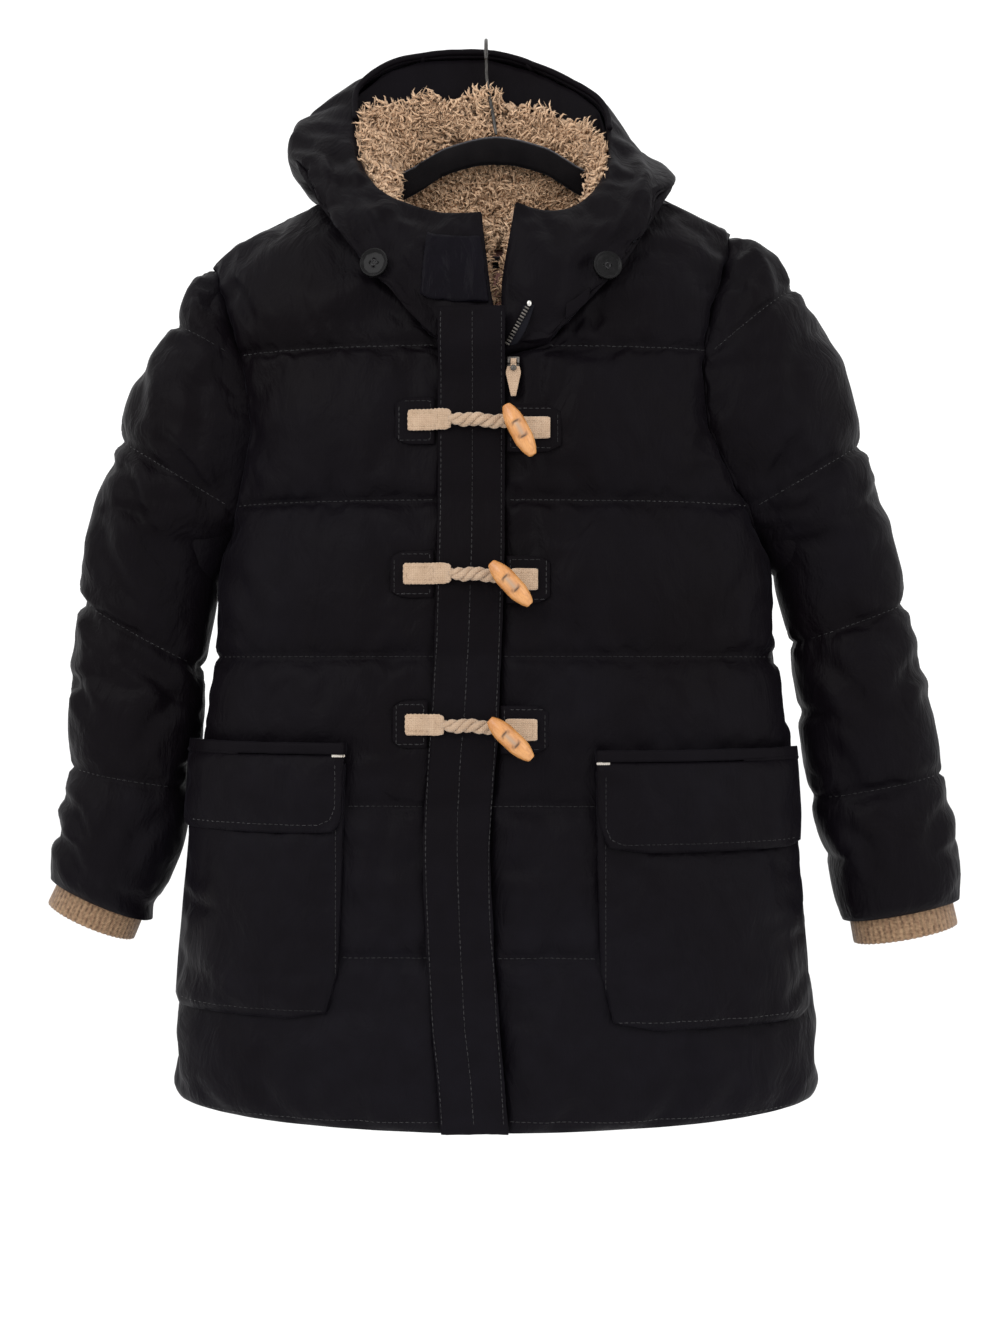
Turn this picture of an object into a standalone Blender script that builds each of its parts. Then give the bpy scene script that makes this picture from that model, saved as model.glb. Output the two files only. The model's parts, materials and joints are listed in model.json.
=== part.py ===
"""A child's puffer coat with a fleece-lined hood, hung on a flat hanger.

Sizes are millimetres and become metres when a mesh is made. +Z is up, the front of the coat faces
-Y, and the origin is the inside top of the hanger's hook. "left" and "right" are as seen from the
front. Every piece of cloth is a closed wall: an inner sheet and an outer sheet over the same grid,
where the outer sheet carries the quilting and the inner one is plain.
"""

import math

import bmesh
import bpy
import numpy as np
from mathutils import Matrix, Vector

MM = 0.001
LEFT, RIGHT = -1, 1
FRONT, BACK = -1, 1

# Cloth
CENTRE_X = 7.5  # the coat hangs this far off the hook
PAD = 10.0  # wall at the top of a puff
SEAM_WALL = 4.5  # wall at a quilting line or seam
GAP = 0.3  # between pieces that are sewn together
LIE = 0.6  # between a panel and what lies on it
SQUARENESS = 2.4  # superellipse power of the body's level sections
SHOULDER_DROP = 120.0  # height over which the body rounds out below the shoulder line
SHOULDER_Z, SHOULDER_SLOPE, NECK_HALF = -96.2, 0.49, 92.0
NAPE_Z = -130.0
ARMPIT_Z = -385.0
HEM_Z = -790.0
HEM_RISE, HEM_RISE_FROM = 9.0, -735.0  # the hem climbs towards the side seams
YOKE_Z = -242.0
NECK_FRONT_Z = -250.0
QUILT_Z = (YOKE_Z, -351.0, -460.0, -564.0, -669.0, HEM_Z)

BODY_COLUMNS = ("z", "half", "front", "back")
BODY_SECTIONS = (
    (-800, 245, 93, 86),
    (-747, 240, 93, 84),
    (-687, 234, 92, 82),
    (-612, 227, 91, 78),
    (-537, 222, 90, 74),
    (-462, 213, 89, 70),
    (-387, 205, 87, 66),
    (-300, 207, 84, 62),
    (-240, 210, 80, 58),
    (-180, 217, 74, 54),
    (-80, 226, 66, 48),
)

# Where the sleeves are set in: x from the coat's centre line at each height
ARMHOLE_COLUMNS = ("z", "left", "right")
ARMHOLE = (
    (-385, 203.5, 203.0),
    (-352, 194.0, 190.0),
    (-320, 186.0, 168.0),
    (-290, 179.0, 156.0),
    (-272, 182.0, 153.0),
    (-244, 190.0, 154.5),
    (-208, 204.0, 162.0),
    (-175, 214.0, 173.0),
    (-140, 220.0, 181.0),
)
SHOULDER_TIP = {LEFT: 219.5, RIGHT: 181.0}
TIP_FROM, TIP_DROOP = 188.0, 13.5

# Rows above the armpit: a height, then shares of the way from the yoke line to the shoulder seam
CHEST_ROWS = (ARMPIT_Z, -360.0, -351.0, -339.0, -297.0, NECK_FRONT_Z, YOKE_Z)
SHOULDER_ROWS = (0.09, 0.3, 0.6, 0.88, 1.0)
NECKLINE_COLUMNS = ("share", "half")
NECKLINE = ((0.0, 37.5), (0.09, 49.0), (0.3, 70.0), (0.6, 84.0), (0.88, 91.0), (1.0, NECK_HALF))
BACK_NECK = ((NECK_HALF, SHOULDER_Z), (80.0, -114.0), (56.0, -125.0), (0.0, NAPE_Z))

# The placket's free edge and the zip under it, from the coat's centre line
PLACKET_COLUMNS = ("z", "edge")
PLACKET_EDGE = ((-792, 9.0), (-661, -1.5), (-587, -4.5), (-515, 1.5), (-400, 6.0), (-337, 6.3), (-200, 6.3))
PLACKET_WIDTH = 46.5
PLACKET_TOP = -219.0
PLACKET_WALL = 3.6
ZIP_INSIDE_EDGE = 5.0  # from the placket's edge back to the middle of the zip
ZIP_HALF = 4.0

POCKET_COLUMNS = ("welt", "flap", "flap_end", "patch_end", "inner", "outer")
POCKETS = {
    LEFT: (-520.0, -528.0, -583.0, -712.0, 0.47, 0.992),
    RIGHT: (-525.0, -533.0, -596.0, -719.0, 0.31, 0.962),
}
POCKET_WALL = 4.0
FLAP_WALL = 4.0

# Sleeves, one row for each station down the arm; stations 1 to 5 are quilting lines
SLEEVE_COLUMNS = ("station", "outer_x", "outer_z", "inner_x", "inner_z", "depth")
SLEEVES = {
    LEFT: (
        (0.0, -212.0, -171.0, -212.0, -171.0, 4),
        (0.4, -220.0, -184.0, -205.0, -200.0, 32),
        (1.0, -235.0, -213.0, -184.0, -242.0, 56),
        (1.5, -258.0, -254.0, -172.0, -297.0, 62),
        (2.0, -277.0, -296.0, -186.0, -351.0, 56),
        (2.4, -294.0, -355.0, -196.5, -385.0, 48),
        (3.0, -306.0, -414.0, -208.0, -470.0, 43),
        (3.5, -313.0, -474.0, -212.0, -515.0, 44),
        (4.0, -315.0, -540.0, -217.0, -558.0, 42),
        (4.5, -321.0, -580.0, -228.0, -606.0, 42),
        (5.0, -331.0, -621.0, -246.0, -659.0, 37),
    ),
    RIGHT: (
        (0.0, 188.5, -140.0, 188.5, -140.0, 4),
        (0.4, 207.0, -155.0, 178.0, -186.0, 40),
        (1.0, 233.0, -183.0, 162.0, -242.0, 62),
        (1.5, 265.0, -240.0, 162.0, -297.0, 66),
        (2.0, 283.0, -300.0, 196.0, -351.0, 58),
        (2.4, 299.0, -356.0, 211.5, -385.0, 48),
        (3.0, 317.0, -418.0, 224.0, -452.0, 43),
        (3.5, 333.0, -478.0, 231.0, -506.0, 44),
        (4.0, 345.0, -544.0, 238.0, -566.0, 43),
        (4.5, 354.0, -590.0, 250.0, -612.0, 42),
        (5.0, 360.0, -638.0, 261.5, -658.0, 37),
    ),
}
CAP_STATIONS = (0.0, 0.15, 0.4, 0.72, 0.9, 1.0, 1.08, 1.5, 1.9, 2.0, 2.08, 2.4)
ARM_STATIONS = (2.7, 2.92, 3.0, 3.08, 3.5, 3.92, 4.0, 4.08, 4.5, 4.92, 5.0)
SLEEVE_HALF_COLUMNS = 8

# Cuffs
CUFF_RIBS = 34
CUFF_OUT = 19.0
CUFF_IN = 12.0
CUFF_WALL = 2.4
CUFF_EASE = {LEFT: 1.6, RIGHT: 0.7}
RIB_HEIGHT = 0.8

# Hood, one row for each seam node from the left front round the nape to the right front
HOOD_COLUMNS = (
    "rim_x", "rim_y", "rim_z", "brow_x", "brow_y", "brow_z",
    "crown_x", "crown_y", "crown_z", "fold_x", "fold_y", "fold_z",
)
HOOD_SECTIONS = (
    (-3, -72, -148, 0, -76, -172, 4, -80, -205, 9, -81, -235),
    (-31, -66, -147, -35, -77, -172, -38, -84, -204, -38, -86, -234),
    (-56, -60, -138, -64, -72, -158, -69, -81, -184, -66, -84, -206),
    (-77, -54, -126, -92, -61, -142, -96, -70, -155, -92, -76, -177),
    (-92, -30, -96, -116, -36, -108, -127, -44, -118, -112, -60, -146),
    (-97, -8, -60, -142, -6, -66, -143, -20, -98, -118, -34, -116),
    (-99, 4, -33, -134, 22, -44, -147, 22, -92, -122, 6, -104),
    (-78, 16, -10, -104, 46, -22, -122, 70, -92, -104, 58, -132),
    (-50, 22, 1, -66, 66, -6, -78, 100, -92, -62, 86, -154),
    (-1, 25, 4, 4, 78, -2, 7, 114, -92, 7, 92, -160),
    (36, 23, -6, 58, 68, -12, 82, 100, -94, 70, 86, -154),
    (68, 16, -24, 94, 46, -36, 122, 70, -98, 110, 58, -136),
    (88, 6, -42, 107, 24, -62, 134, 20, -94, 126, 6, -104),
    (92, -10, -68, 114, -8, -86, 141, -16, -104, 121, -44, -130),
    (88, -38, -103, 110, -45, -118, 130, -48, -126, 113, -65, -158),
    (76, -52, -128, 93, -64, -146, 102, -71, -158, 98, -78, -186),
    (59, -60, -142, 70, -72, -162, 77, -82, -188, 76, -86, -209),
    (39, -66, -145, 44, -78, -170, 46, -85, -203, 46, -86, -234),
    (22, -72, -141, 16, -77, -170, 11, -80, -203, 12, -81, -235),
)
HOOD_WALL = 4.0
FOLD_SHARE = 0.5  # wall of a ply against the room behind it
PLY_WALL = (0.8, 4.0)  # least and greatest wall of the hood's plies
HOOD_CLEAR = 2.0
HOOD_SEAM_GAP = 1.0
HOOD_SPLIT = (8, 10)  # sections where the middle panel is joined
SHOULDER_SECTIONS = (6, 12)
HOOD_ROWS = 12
FUR_WALL = 11.0
FUR_ROWS = 6
FACING_WIDTH = (0, 0, 0, 0, 0, 6, 17, 28, 33, 34, 33, 28, 19, 7, 0, 0, 0, 0, 0)
FACING_WALL = 1.5

# Closures on the front
TOGGLE_COLUMNS = ("z", "rope_z", "flat_x", "centre_x", "centre_z", "lean", "tail_x", "tail_z", "patch_x", "seat")
TOGGLES = (
    (-296.5, -299.0, -53.5, 23.5, -306.5, 28.0, 45.0, -302.0, 53.0, 2.2),
    (-403.0, -405.0, -56.5, 17.5, -411.0, 43.0, 36.5, -407.0, 45.0, 0.8),
    (-507.0, -508.5, -55.0, 17.5, -516.0, 47.0, 36.0, -510.5, 44.0, 1.0),
)
TOGGLE_LENGTH, TOGGLE_RADIUS, TOGGLE_WAIST = 39.0, 6.8, 5.6
ROPE_RADIUS, ROPE_LOBES, ROPE_LAY = 4.8, 3, 21.0
TAPE_HALF, TAPE_WALL = 7.6, 2.6
PATCH_HALF, PATCH_WALL = 16.5, 1.2

BUTTON_RADIUS, BUTTON_THICK, BUTTON_DISH = 10.5, 3.6, 1.2
BUTTON_HOLE_RADIUS, BUTTON_HOLE_RING, BUTTON_STAND = 0.9, 2.3, 0.8
BUTTON_SECTIONS = {LEFT: (2.25, 0.62), RIGHT: (15.75, 0.6)}  # section and share of the way down
TAB_SECTION, TAB_SHARE, TAB_WALL = 16.45, 0.69, 1.2
TAB_HALF = (0.26, 0.055)  # in sections and in shares
CHIN_FLAP = ((0.06, 1.2), (0.2, 0.57))  # sections, then shares of the way down
TOP_TAPE = ((17.84, 0.87), (17.45, 0.6))  # section and share of the way down, at each end
TOP_TAPE_HALF = 0.11

SLIDER_X, SLIDER_Z = 19.6, -257.0
SLIDER_WIDTH, SLIDER_HEIGHT, SLIDER_THICK = 8.4, 10.0, 2.6
PULL_WIDTH, PULL_TIP, PULL_LENGTH, PULL_THICK = 10.5, 3.4, 23.0, 1.6
EYE_RADIUS, PIN_RADIUS, PIN_CLEARANCE = 2.1, 0.7, 0.4

# Hanger
HANGER_HALF = 176.0
HANGER_THICK = 6.0
ARM_DROP = 22.0
BAR_TOP, BAR_DROP = -159.5, 7.5
HANGER_TOP = ((0, -69), (12, -70.3), (24, -73.2), (40, -78.2), (60, -85.2))
HANGER_LOW = ((0, -91), (12, -91.6), (24, -94.2), (40, -99.6), (60, -106.6))
HOOK_WIRE = 1.5
HOOK_INNER = 15.0


def columns(names, rows):
    """A table as one array for each named column."""
    return dict(zip(names, np.array(rows, float).T))


BODY = columns(BODY_COLUMNS, BODY_SECTIONS)
ARMHOLES = columns(ARMHOLE_COLUMNS, ARMHOLE)
NECK = columns(NECKLINE_COLUMNS, NECKLINE)
PLACKET = columns(PLACKET_COLUMNS, PLACKET_EDGE)
HOOD = columns(HOOD_COLUMNS, HOOD_SECTIONS)


def smooth(where, knots, values):
    """Cubic through the knots, with slopes that don't overshoot."""
    step = np.diff(knots)
    rise = np.diff(values) / step
    slope = np.empty(len(knots))
    slope[1:-1] = np.where(rise[1:] * rise[:-1] > 0, (rise[1:] + rise[:-1]) / 2, 0)
    slope[0], slope[-1] = rise[0], rise[-1]
    i = np.clip(np.searchsorted(knots, where, side="right") - 1, 0, len(step) - 1)
    t = (where - knots[i]) / step[i]
    value = values[i] * (1 + 2 * t) * (1 - t) ** 2 + values[i + 1] * t * t * (3 - 2 * t)
    return value + step[i] * (slope[i] * t * (1 - t) ** 2 - slope[i + 1] * t * t * (1 - t))


# ---------------------------------------------------------------- materials and meshes


def material(name, colour, roughness, metallic=0.0):
    made = bpy.data.materials.new(name)
    made.use_nodes = True
    shader = made.node_tree.nodes["Principled BSDF"]
    shader.inputs["Base Color"].default_value = (*colour, 1)
    shader.inputs["Roughness"].default_value = roughness
    shader.inputs["Metallic"].default_value = metallic
    return made


def add_object(name, mesh, finish, smooth_angle=40):
    mesh.materials.append(finish)
    mesh.shade_smooth()
    mesh.set_sharp_from_angle(angle=math.radians(smooth_angle))
    obj = bpy.data.objects.new(name, mesh)
    bpy.context.scene.collection.objects.link(obj)
    return obj


def wall(name, outer, inner, finish, wrap=False):
    """A closed wall between two sheets of points with the same grid; wrap joins last column to first."""
    rows, cols = outer.shape[:2]
    both = np.concatenate([outer.reshape(-1, 3), inner.reshape(-1, 3)], axis=1)
    _, first, shared = np.unique(np.round(both, 4), axis=0, return_index=True, return_inverse=True)
    shared = shared.reshape(rows, cols)
    points = both[first]
    quads = []
    for r in range(rows - 1):
        for c in range(cols if wrap else cols - 1):
            d = (c + 1) % cols
            ring = [shared[r, c], shared[r, d], shared[r + 1, d], shared[r + 1, c]]
            ring = [int(p) for i, p in enumerate(ring) if p != ring[i - 1]]
            if len(set(ring)) > 2:
                quads.append(ring)
    return closed_wall(name, points[:, :3], points[:, 3:], quads, finish)


def closed_wall(name, outer, inner, faces, finish):
    """Joins two sheets that share their faces with a strip along every open edge."""
    count = len(outer)
    used = {}
    for face in faces:
        for a, b in zip(face, face[1:] + face[:1]):
            used[a, b] = used.get((a, b), 0) + 1
    edges = [(a, b) for a, b in used if (b, a) not in used]
    made = bmesh.new()
    verts = [made.verts.new(p * MM) for p in np.concatenate([outer, inner])]
    for face in faces:
        made.faces.new([verts[i] for i in face])
        turned = face[:1] + face[:0:-1] if name.startswith("hood") else face[::-1]
        made.faces.new([verts[i + count] for i in turned])
    for a, b in edges:
        made.faces.new([verts[b], verts[a], verts[a + count], verts[b + count]])
    bmesh.ops.delete(made, geom=[v for v in made.verts if not v.link_faces], context="VERTS")
    bmesh.ops.recalc_face_normals(made, faces=made.faces)
    mesh = bpy.data.meshes.new(name)
    made.to_mesh(mesh)
    made.free()
    return add_object(name, mesh, finish)


def tube(name, rings, finish, smooth_angle=40):
    """A closed solid through rings of points, with flat ends."""
    made = bmesh.new()
    loops = [[made.verts.new(p * MM) for p in ring] for ring in rings]
    for low, high in zip(loops, loops[1:]):
        for i in range(len(low)):
            j = (i + 1) % len(low)
            made.faces.new([low[i], low[j], high[j], high[i]])
    made.faces.new(list(reversed(loops[0])))
    made.faces.new(loops[-1])
    bmesh.ops.recalc_face_normals(made, faces=made.faces)
    mesh = bpy.data.meshes.new(name)
    made.to_mesh(mesh)
    made.free()
    return add_object(name, mesh, finish, smooth_angle)


def grid_normals(points):
    """Unit normals of a grid of points."""
    along = np.gradient(points, axis=0)
    across = np.gradient(points, axis=1)
    normal = np.cross(along, across)
    return normal / np.maximum(np.linalg.norm(normal, axis=2, keepdims=True), 1e-9)


# ---------------------------------------------------------------- the body of the coat


def shoulder_z(x):
    """Height of the shoulder line, which rounds over near the tip."""
    reach = np.abs(x - CENTRE_X)
    over = np.maximum((reach - TIP_FROM) / (SHOULDER_TIP[LEFT] - TIP_FROM), 0)
    return SHOULDER_Z - SHOULDER_SLOPE * (reach - NECK_HALF) - TIP_DROOP * over**2


def back_top_z(x):
    """The back's upper edge: the shoulder seams and the neckline between them."""
    half, height = np.array(BACK_NECK[::-1]).T
    r = np.abs(x - CENTRE_X)
    return np.where(r < NECK_HALF, np.interp(r, half, height), shoulder_z(x))


def body_half(z):
    return np.interp(z, BODY["z"], BODY["half"])


def body_y(x, z, inset, face):
    """Depth of the body's surface, moved in by inset, at a place seen from the front."""
    depth = np.interp(z, BODY["z"], BODY["front" if face == FRONT else "back"]) - inset
    s = np.clip(np.abs(x - CENTRE_X) / (body_half(z) - inset), 0, 1)
    below = np.clip((shoulder_z(x) - inset - z) / SHOULDER_DROP, 0, 1)
    swell = (1 - (1 - below) ** 2.2) ** (1 / 2.2)
    return face * (depth * (1 - s**SQUARENESS) ** (1 / SQUARENESS) * swell + GAP / 2)


def quilt(z, top_share=None):
    """0 on a quilting line and 1 in the middle of a puff, at a height or above the yoke line."""
    share = np.zeros_like(z)
    for high, low in zip(QUILT_Z, QUILT_Z[1:]):
        share = np.where((z <= high) & (z >= low), (z - low) / (high - low), share)
    if top_share is not None:
        share = np.where(z > YOKE_Z, top_share, share)
    return np.sin(math.pi * np.clip(share, 0, 1)) ** 0.55


def lower_rows(extra=()):
    """Heights of the rows from the hem to the armpit, close on each side of a quilting line."""
    rows = [HEM_Z, HEM_Z + 9, ARMPIT_Z - 28]
    for line in QUILT_Z[2:-1]:
        rows += [line - 9, line, line + 9]
    for high, low in zip(QUILT_Z[2:], QUILT_Z[3:]):
        rows.append((high + low) / 2)
    rows = [z for z in rows if all(abs(z - e) > 6 for e in extra)] + list(extra)
    return sorted(rows)


def body_rows(extra=()):
    """Each row as (height, None) or (None, share of the way from the yoke to the top)."""
    rows = [(z, None) for z in lower_rows(extra)] + [(z, None) for z in CHEST_ROWS]
    return rows + [(None, share) for share in SHOULDER_ROWS]


def armhole_half(side, z):
    return np.interp(z, ARMHOLES["z"], ARMHOLES["left" if side == LEFT else "right"])


def outer_angle(side, row):
    """How far round the section a row reaches: the side seam, or the armhole above it."""
    z, share = row
    if share is not None:
        tip = shoulder_z(CENTRE_X + SHOULDER_TIP[side])
        z = YOKE_Z + share * (tip - YOKE_Z)
        reach = SHOULDER_TIP[side] if share == 1 else armhole_half(side, z)
    elif z > ARMPIT_Z:
        reach = armhole_half(side, z)
    else:
        return math.pi / 2
    return math.asin(min(reach / body_half(z), 1) ** (SQUARENESS / 2))


def zip_half(side, z):
    """Where a front ends at the zip, from the centre line towards its own side."""
    middle = np.interp(z, PLACKET["z"], PLACKET["edge"]) - ZIP_INSIDE_EDGE
    return side * middle + ZIP_HALF


def front_columns(side, rows):
    """Signed shares of the half width, one row of them for each row of the panel."""
    pocket = dict(zip(POCKET_COLUMNS, POCKETS[side]))
    inner, outer = (math.asin(pocket[key] ** (SQUARENESS / 2)) for key in ("inner", "outer"))
    before, across, after = (3, 6, 1) if side == LEFT else (2, 6, 2)
    shares = []
    for row in rows:
        z, top = row
        if top is None:
            here = zip_half(side, z) if z <= NECK_FRONT_Z else NECK["half"][0]
        else:
            here = float(np.interp(top, NECK["share"], NECK["half"]))
            z = YOKE_Z + top * (SHOULDER_Z - YOKE_Z)
        start = -1 if here < 0 else 1
        first = start * math.asin((abs(here) / body_half(z)) ** (SQUARENESS / 2))
        last = outer_angle(side, row)
        base = first if top is None and z <= NECK_FRONT_Z else 0.02
        marks = np.concatenate([
            np.linspace(base, inner, before + 1)[:-1],
            np.linspace(inner, outer, across + 1)[:-1],
            np.linspace(outer, math.pi / 2, after + 1),
        ])
        angle = first + (last - first) * (marks - marks[0]) / (marks[-1] - marks[0])
        shares.append(np.sign(angle) * np.abs(np.sin(angle)) ** (2 / SQUARENESS))
    return np.array(shares)


def place_rows(shares, rows, side_sign, inset, face, top_of):
    """Points of a panel from its column shares and rows, moved in by inset (one number or a grid)."""
    inset = np.broadcast_to(np.asarray(inset, float), shares.shape)
    out = np.empty((*shares.shape, 3))
    for r, (z, top) in enumerate(rows):
        if top is None:
            low = np.clip((HEM_RISE_FROM - z) / (HEM_RISE_FROM - HEM_Z), 0, 1)
            height = z + HEM_RISE * low * shares[r] ** 2
            x = CENTRE_X + side_sign * shares[r] * (body_half(height) - inset[r])
        else:
            height = np.full(shares.shape[1], YOKE_Z + top * (SHOULDER_Z - YOKE_Z))
            for _ in range(12):
                x = CENTRE_X + side_sign * shares[r] * (body_half(height) - inset[r])
                height = YOKE_Z + top * (top_of(x) - inset[r] - YOKE_Z)
        out[r] = np.stack([x, body_y(x, height, inset[r], face), height], axis=1)
    return out


def edge_fade(cols):
    """1 across a panel and 0 on the seams at its two sides."""
    fade = np.ones(cols)
    fade[[0, -1]] = 0
    return fade


def row_quilt(rows):
    return np.array([quilt(np.array(float(YOKE_Z + 1 if z is None else z)), top) for z, top in rows])


def front_inset(side, rows, shares):
    """How far the outer sheet of a front lies inside the top of its puffs."""
    pocket = dict(zip(POCKET_COLUMNS, POCKETS[side]))
    raised = row_quilt(rows)[:, None] * edge_fade(shares.shape[1])[None]
    for r, (z, _) in enumerate(rows):
        if z is not None and pocket["patch_end"] <= z <= pocket["welt"]:
            held = (shares[r] > pocket["inner"] - 0.01) & (shares[r] < 0.999)
            raised[r] = np.where(held, 0.8, raised[r])
    return PAD - SEAM_WALL - (PAD - SEAM_WALL) * raised


def pocket_rows(side):
    pocket = dict(zip(POCKET_COLUMNS, POCKETS[side]))
    return (pocket["welt"], pocket["flap"], pocket["flap"] - 6, pocket["flap_end"], pocket["patch_end"])


def front_sheets(side):
    rows = body_rows(pocket_rows(side))
    shares = front_columns(side, rows)
    outer = place_rows(shares, rows, side, front_inset(side, rows, shares), FRONT, shoulder_z)
    inner = place_rows(shares, rows, side, PAD, FRONT, shoulder_z)
    return rows, shares, outer, inner


def back_sheets():
    """The back as one grid from the left side seam or armhole to the right one."""
    rows = body_rows()
    neck_marks = np.array([0, BACK_NECK[2][0] / 2, BACK_NECK[2][0], BACK_NECK[1][0], NECK_HALF])
    shares = []
    for row in rows:
        z, top = row
        level = z if top is None else YOKE_Z + top * (SHOULDER_Z - YOKE_Z)
        halves = []
        for side in (LEFT, RIGHT):
            reach = outer_angle(side, row)
            even = np.sin(np.linspace(0, reach, 9)) ** (2 / SQUARENESS)
            marks = np.concatenate([neck_marks, np.linspace(NECK_HALF, SHOULDER_TIP[side], 5)[1:]])
            gathered = marks / body_half(level)
            gathered[-1] = even[-1]
            blend = 0 if top is None else top
            halves.append(even * (1 - blend) + gathered * blend)
        shares.append(np.concatenate([-halves[0][:0:-1], halves[1]]))
    shares = np.array(shares)
    raised = row_quilt(rows)[:, None] * edge_fade(shares.shape[1])[None]
    inset = PAD - SEAM_WALL - (PAD - SEAM_WALL) * raised
    outer = place_rows(shares, rows, 1, inset, BACK, back_top_z)
    inner = place_rows(shares, rows, 1, PAD, BACK, back_top_z)
    return rows, shares, outer, inner


# ---------------------------------------------------------------- sleeves and cuffs


def sleeve_table(side):
    return columns(SLEEVE_COLUMNS, SLEEVES[side])


def armhole_points(side, face, inset):
    """The armhole's points from the shoulder tip down to the armpit, at one inset."""
    rows = [row for row in body_rows() if row[0] is None or row[0] >= ARMPIT_Z][::-1]
    shares = np.array([[math.sin(outer_angle(side, row)) ** (2 / SQUARENESS)] for row in rows])
    shares[0] = SHOULDER_TIP[side] / body_half(shoulder_z(CENTRE_X + SHOULDER_TIP[side]))
    return place_rows(shares, rows, side, inset, face, shoulder_z)[:, 0]


def sleeve_point(side, face, table, station, seam, share, inset):
    """One point of a sleeve, share of the way round from its outer line to its seam."""
    outer = np.array([smooth(station, table["station"], table[key]) for key in ("outer_x", "outer_z")])
    depth = smooth(station, table["station"], table["depth"]) - inset
    if seam is None:
        inner = np.array([smooth(station, table["station"], table[key]) for key in ("inner_x", "inner_z")])
        seam_y = 0.0
    else:
        inner, seam_y = seam[[0, 2]], abs(seam[1])
    across = inner - outer
    length = np.linalg.norm(across)
    if length < 1e-6:
        return np.array([outer[0], 0, outer[1]])
    across /= length
    outer = outer + across * inset
    if seam is None:
        inner = inner - across * inset
    length = np.linalg.norm(inner - outer)
    depth = max(depth, seam_y * 1.04 + 1.5)
    end = math.pi - math.asin(min(seam_y / depth, 1))
    angle = end * share
    along = length * (1 - math.cos(angle)) / (1 - math.cos(end))
    x, z = outer + (inner - outer) / length * along
    return np.array([x, face * depth * math.sin(angle) ** 0.9 if seam is None else face * depth * math.sin(angle), z])


def sleeve_sheet(side, face, inset_of):
    """Half of a sleeve, front or back, as a grid from its outer line to its seam."""
    table = sleeve_table(side)
    stations = CAP_STATIONS + ARM_STATIONS
    sheet = np.empty((len(stations), SLEEVE_HALF_COLUMNS + 1, 3))
    shift = np.array([side * (GAP + 0.15), 0, 0])
    for c in range(SLEEVE_HALF_COLUMNS + 1):
        share = c / SLEEVE_HALF_COLUMNS
        for r, station in enumerate(stations):
            inset = inset_of(station, share)
            seam = None
            if r < len(CAP_STATIONS):
                seam = armhole_points(side, face, inset)[r] + shift
                if r == len(CAP_STATIONS) - 1:
                    seam[1] = 0
            if r == 0:
                sheet[r, c] = (seam[0], 0, seam[2])
            else:
                sheet[r, c] = sleeve_point(side, face, table, station, seam, share, inset)
    return sheet


def sleeve_outer_inset(station, share):
    """Quilting of a sleeve: flat on whole stations and along the armhole."""
    raised = math.sin(math.pi * (station % 1)) ** 0.55
    if station < 2.4 and share > 0.999:
        raised = 0
    return (PAD - SEAM_WALL) * (1 - raised)


def whole_sleeve(front, back):
    """The two halves as one grid of columns, joined along the outer line."""
    return np.concatenate([front[:, ::-1], back[:, 1:]], axis=1)


def make_sleeve(side, name, finish):
    sheets = []
    for inset_of in (sleeve_outer_inset, lambda station, share: PAD):
        front, back = (sleeve_sheet(side, face, inset_of) for face in (FRONT, BACK))
        sheets.append(whole_sleeve(front, back))
    outer, inner = sheets
    outer[len(CAP_STATIONS) - 1:, -1] = outer[len(CAP_STATIONS) - 1:, 0]
    inner[len(CAP_STATIONS) - 1:, -1] = inner[len(CAP_STATIONS) - 1:, 0]
    return wall(name, outer, inner, finish)


def make_cuff(side, name, finish):
    """A ribbed knit band from inside the sleeve's end to below it."""
    table = sleeve_table(side)
    count = CUFF_RIBS * 2
    end = np.array([table["outer_x"][-1], table["outer_z"][-1]])
    start = np.array([table["inner_x"][-1], table["inner_z"][-1]])
    across = (start - end) / np.linalg.norm(start - end)
    down = np.array([across[1], -across[0]]) * side
    down = down if down[1] < 0 else -down
    middle = (end + start) / 2
    half = np.linalg.norm(start - end) / 2 - PAD - CUFF_EASE[side]
    depth = table["depth"][-1] - PAD - CUFF_EASE[side]
    levels = ((-CUFF_IN, -1.0), (CUFF_OUT, 0.0))
    outer, inner = [], []
    for drop, swell in levels:
        angle = np.arange(count) * 2 * math.pi / count
        rib = np.where(np.arange(count) % 2 == 0, 0.0, -RIB_HEIGHT)
        for rings, inset in ((outer, -rib - swell), (inner, CUFF_WALL - swell + 0 * rib)):
            flat = np.cos(angle) * (half - inset)
            y = np.sin(angle) * (depth - inset)
            place = middle + down * drop
            rings.append(np.stack([place[0] + across[0] * flat, y, place[1] + across[1] * flat], axis=1))
    return wall(name, np.array(outer), np.array(inner), finish, wrap=True)


# ---------------------------------------------------------------- hood


def neck_nodes(inset):
    """Where the hood is sewn on, from the left front round the nape to the right front."""
    front = []
    rows = [row for row in body_rows() if row[0] is None or row[0] >= NECK_FRONT_Z]
    for side in (LEFT, RIGHT):
        shares = np.array([[s[0]] for s in front_columns(side, rows)])
        front.append(place_rows(shares, rows, side, inset, FRONT, shoulder_z)[:, 0])
    near, far = BACK_NECK[2][0], BACK_NECK[1][0]
    shares = np.array([[r / body_half(SHOULDER_Z)] for r in (-far, -near, 0, near, far)])
    back = place_rows(shares, [(None, 1.0)] * 5, 1, inset, BACK, back_top_z)[:, 0]
    return np.concatenate([front[0], back, front[1][::-1]]) + np.array([0, 0, GAP])


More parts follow.
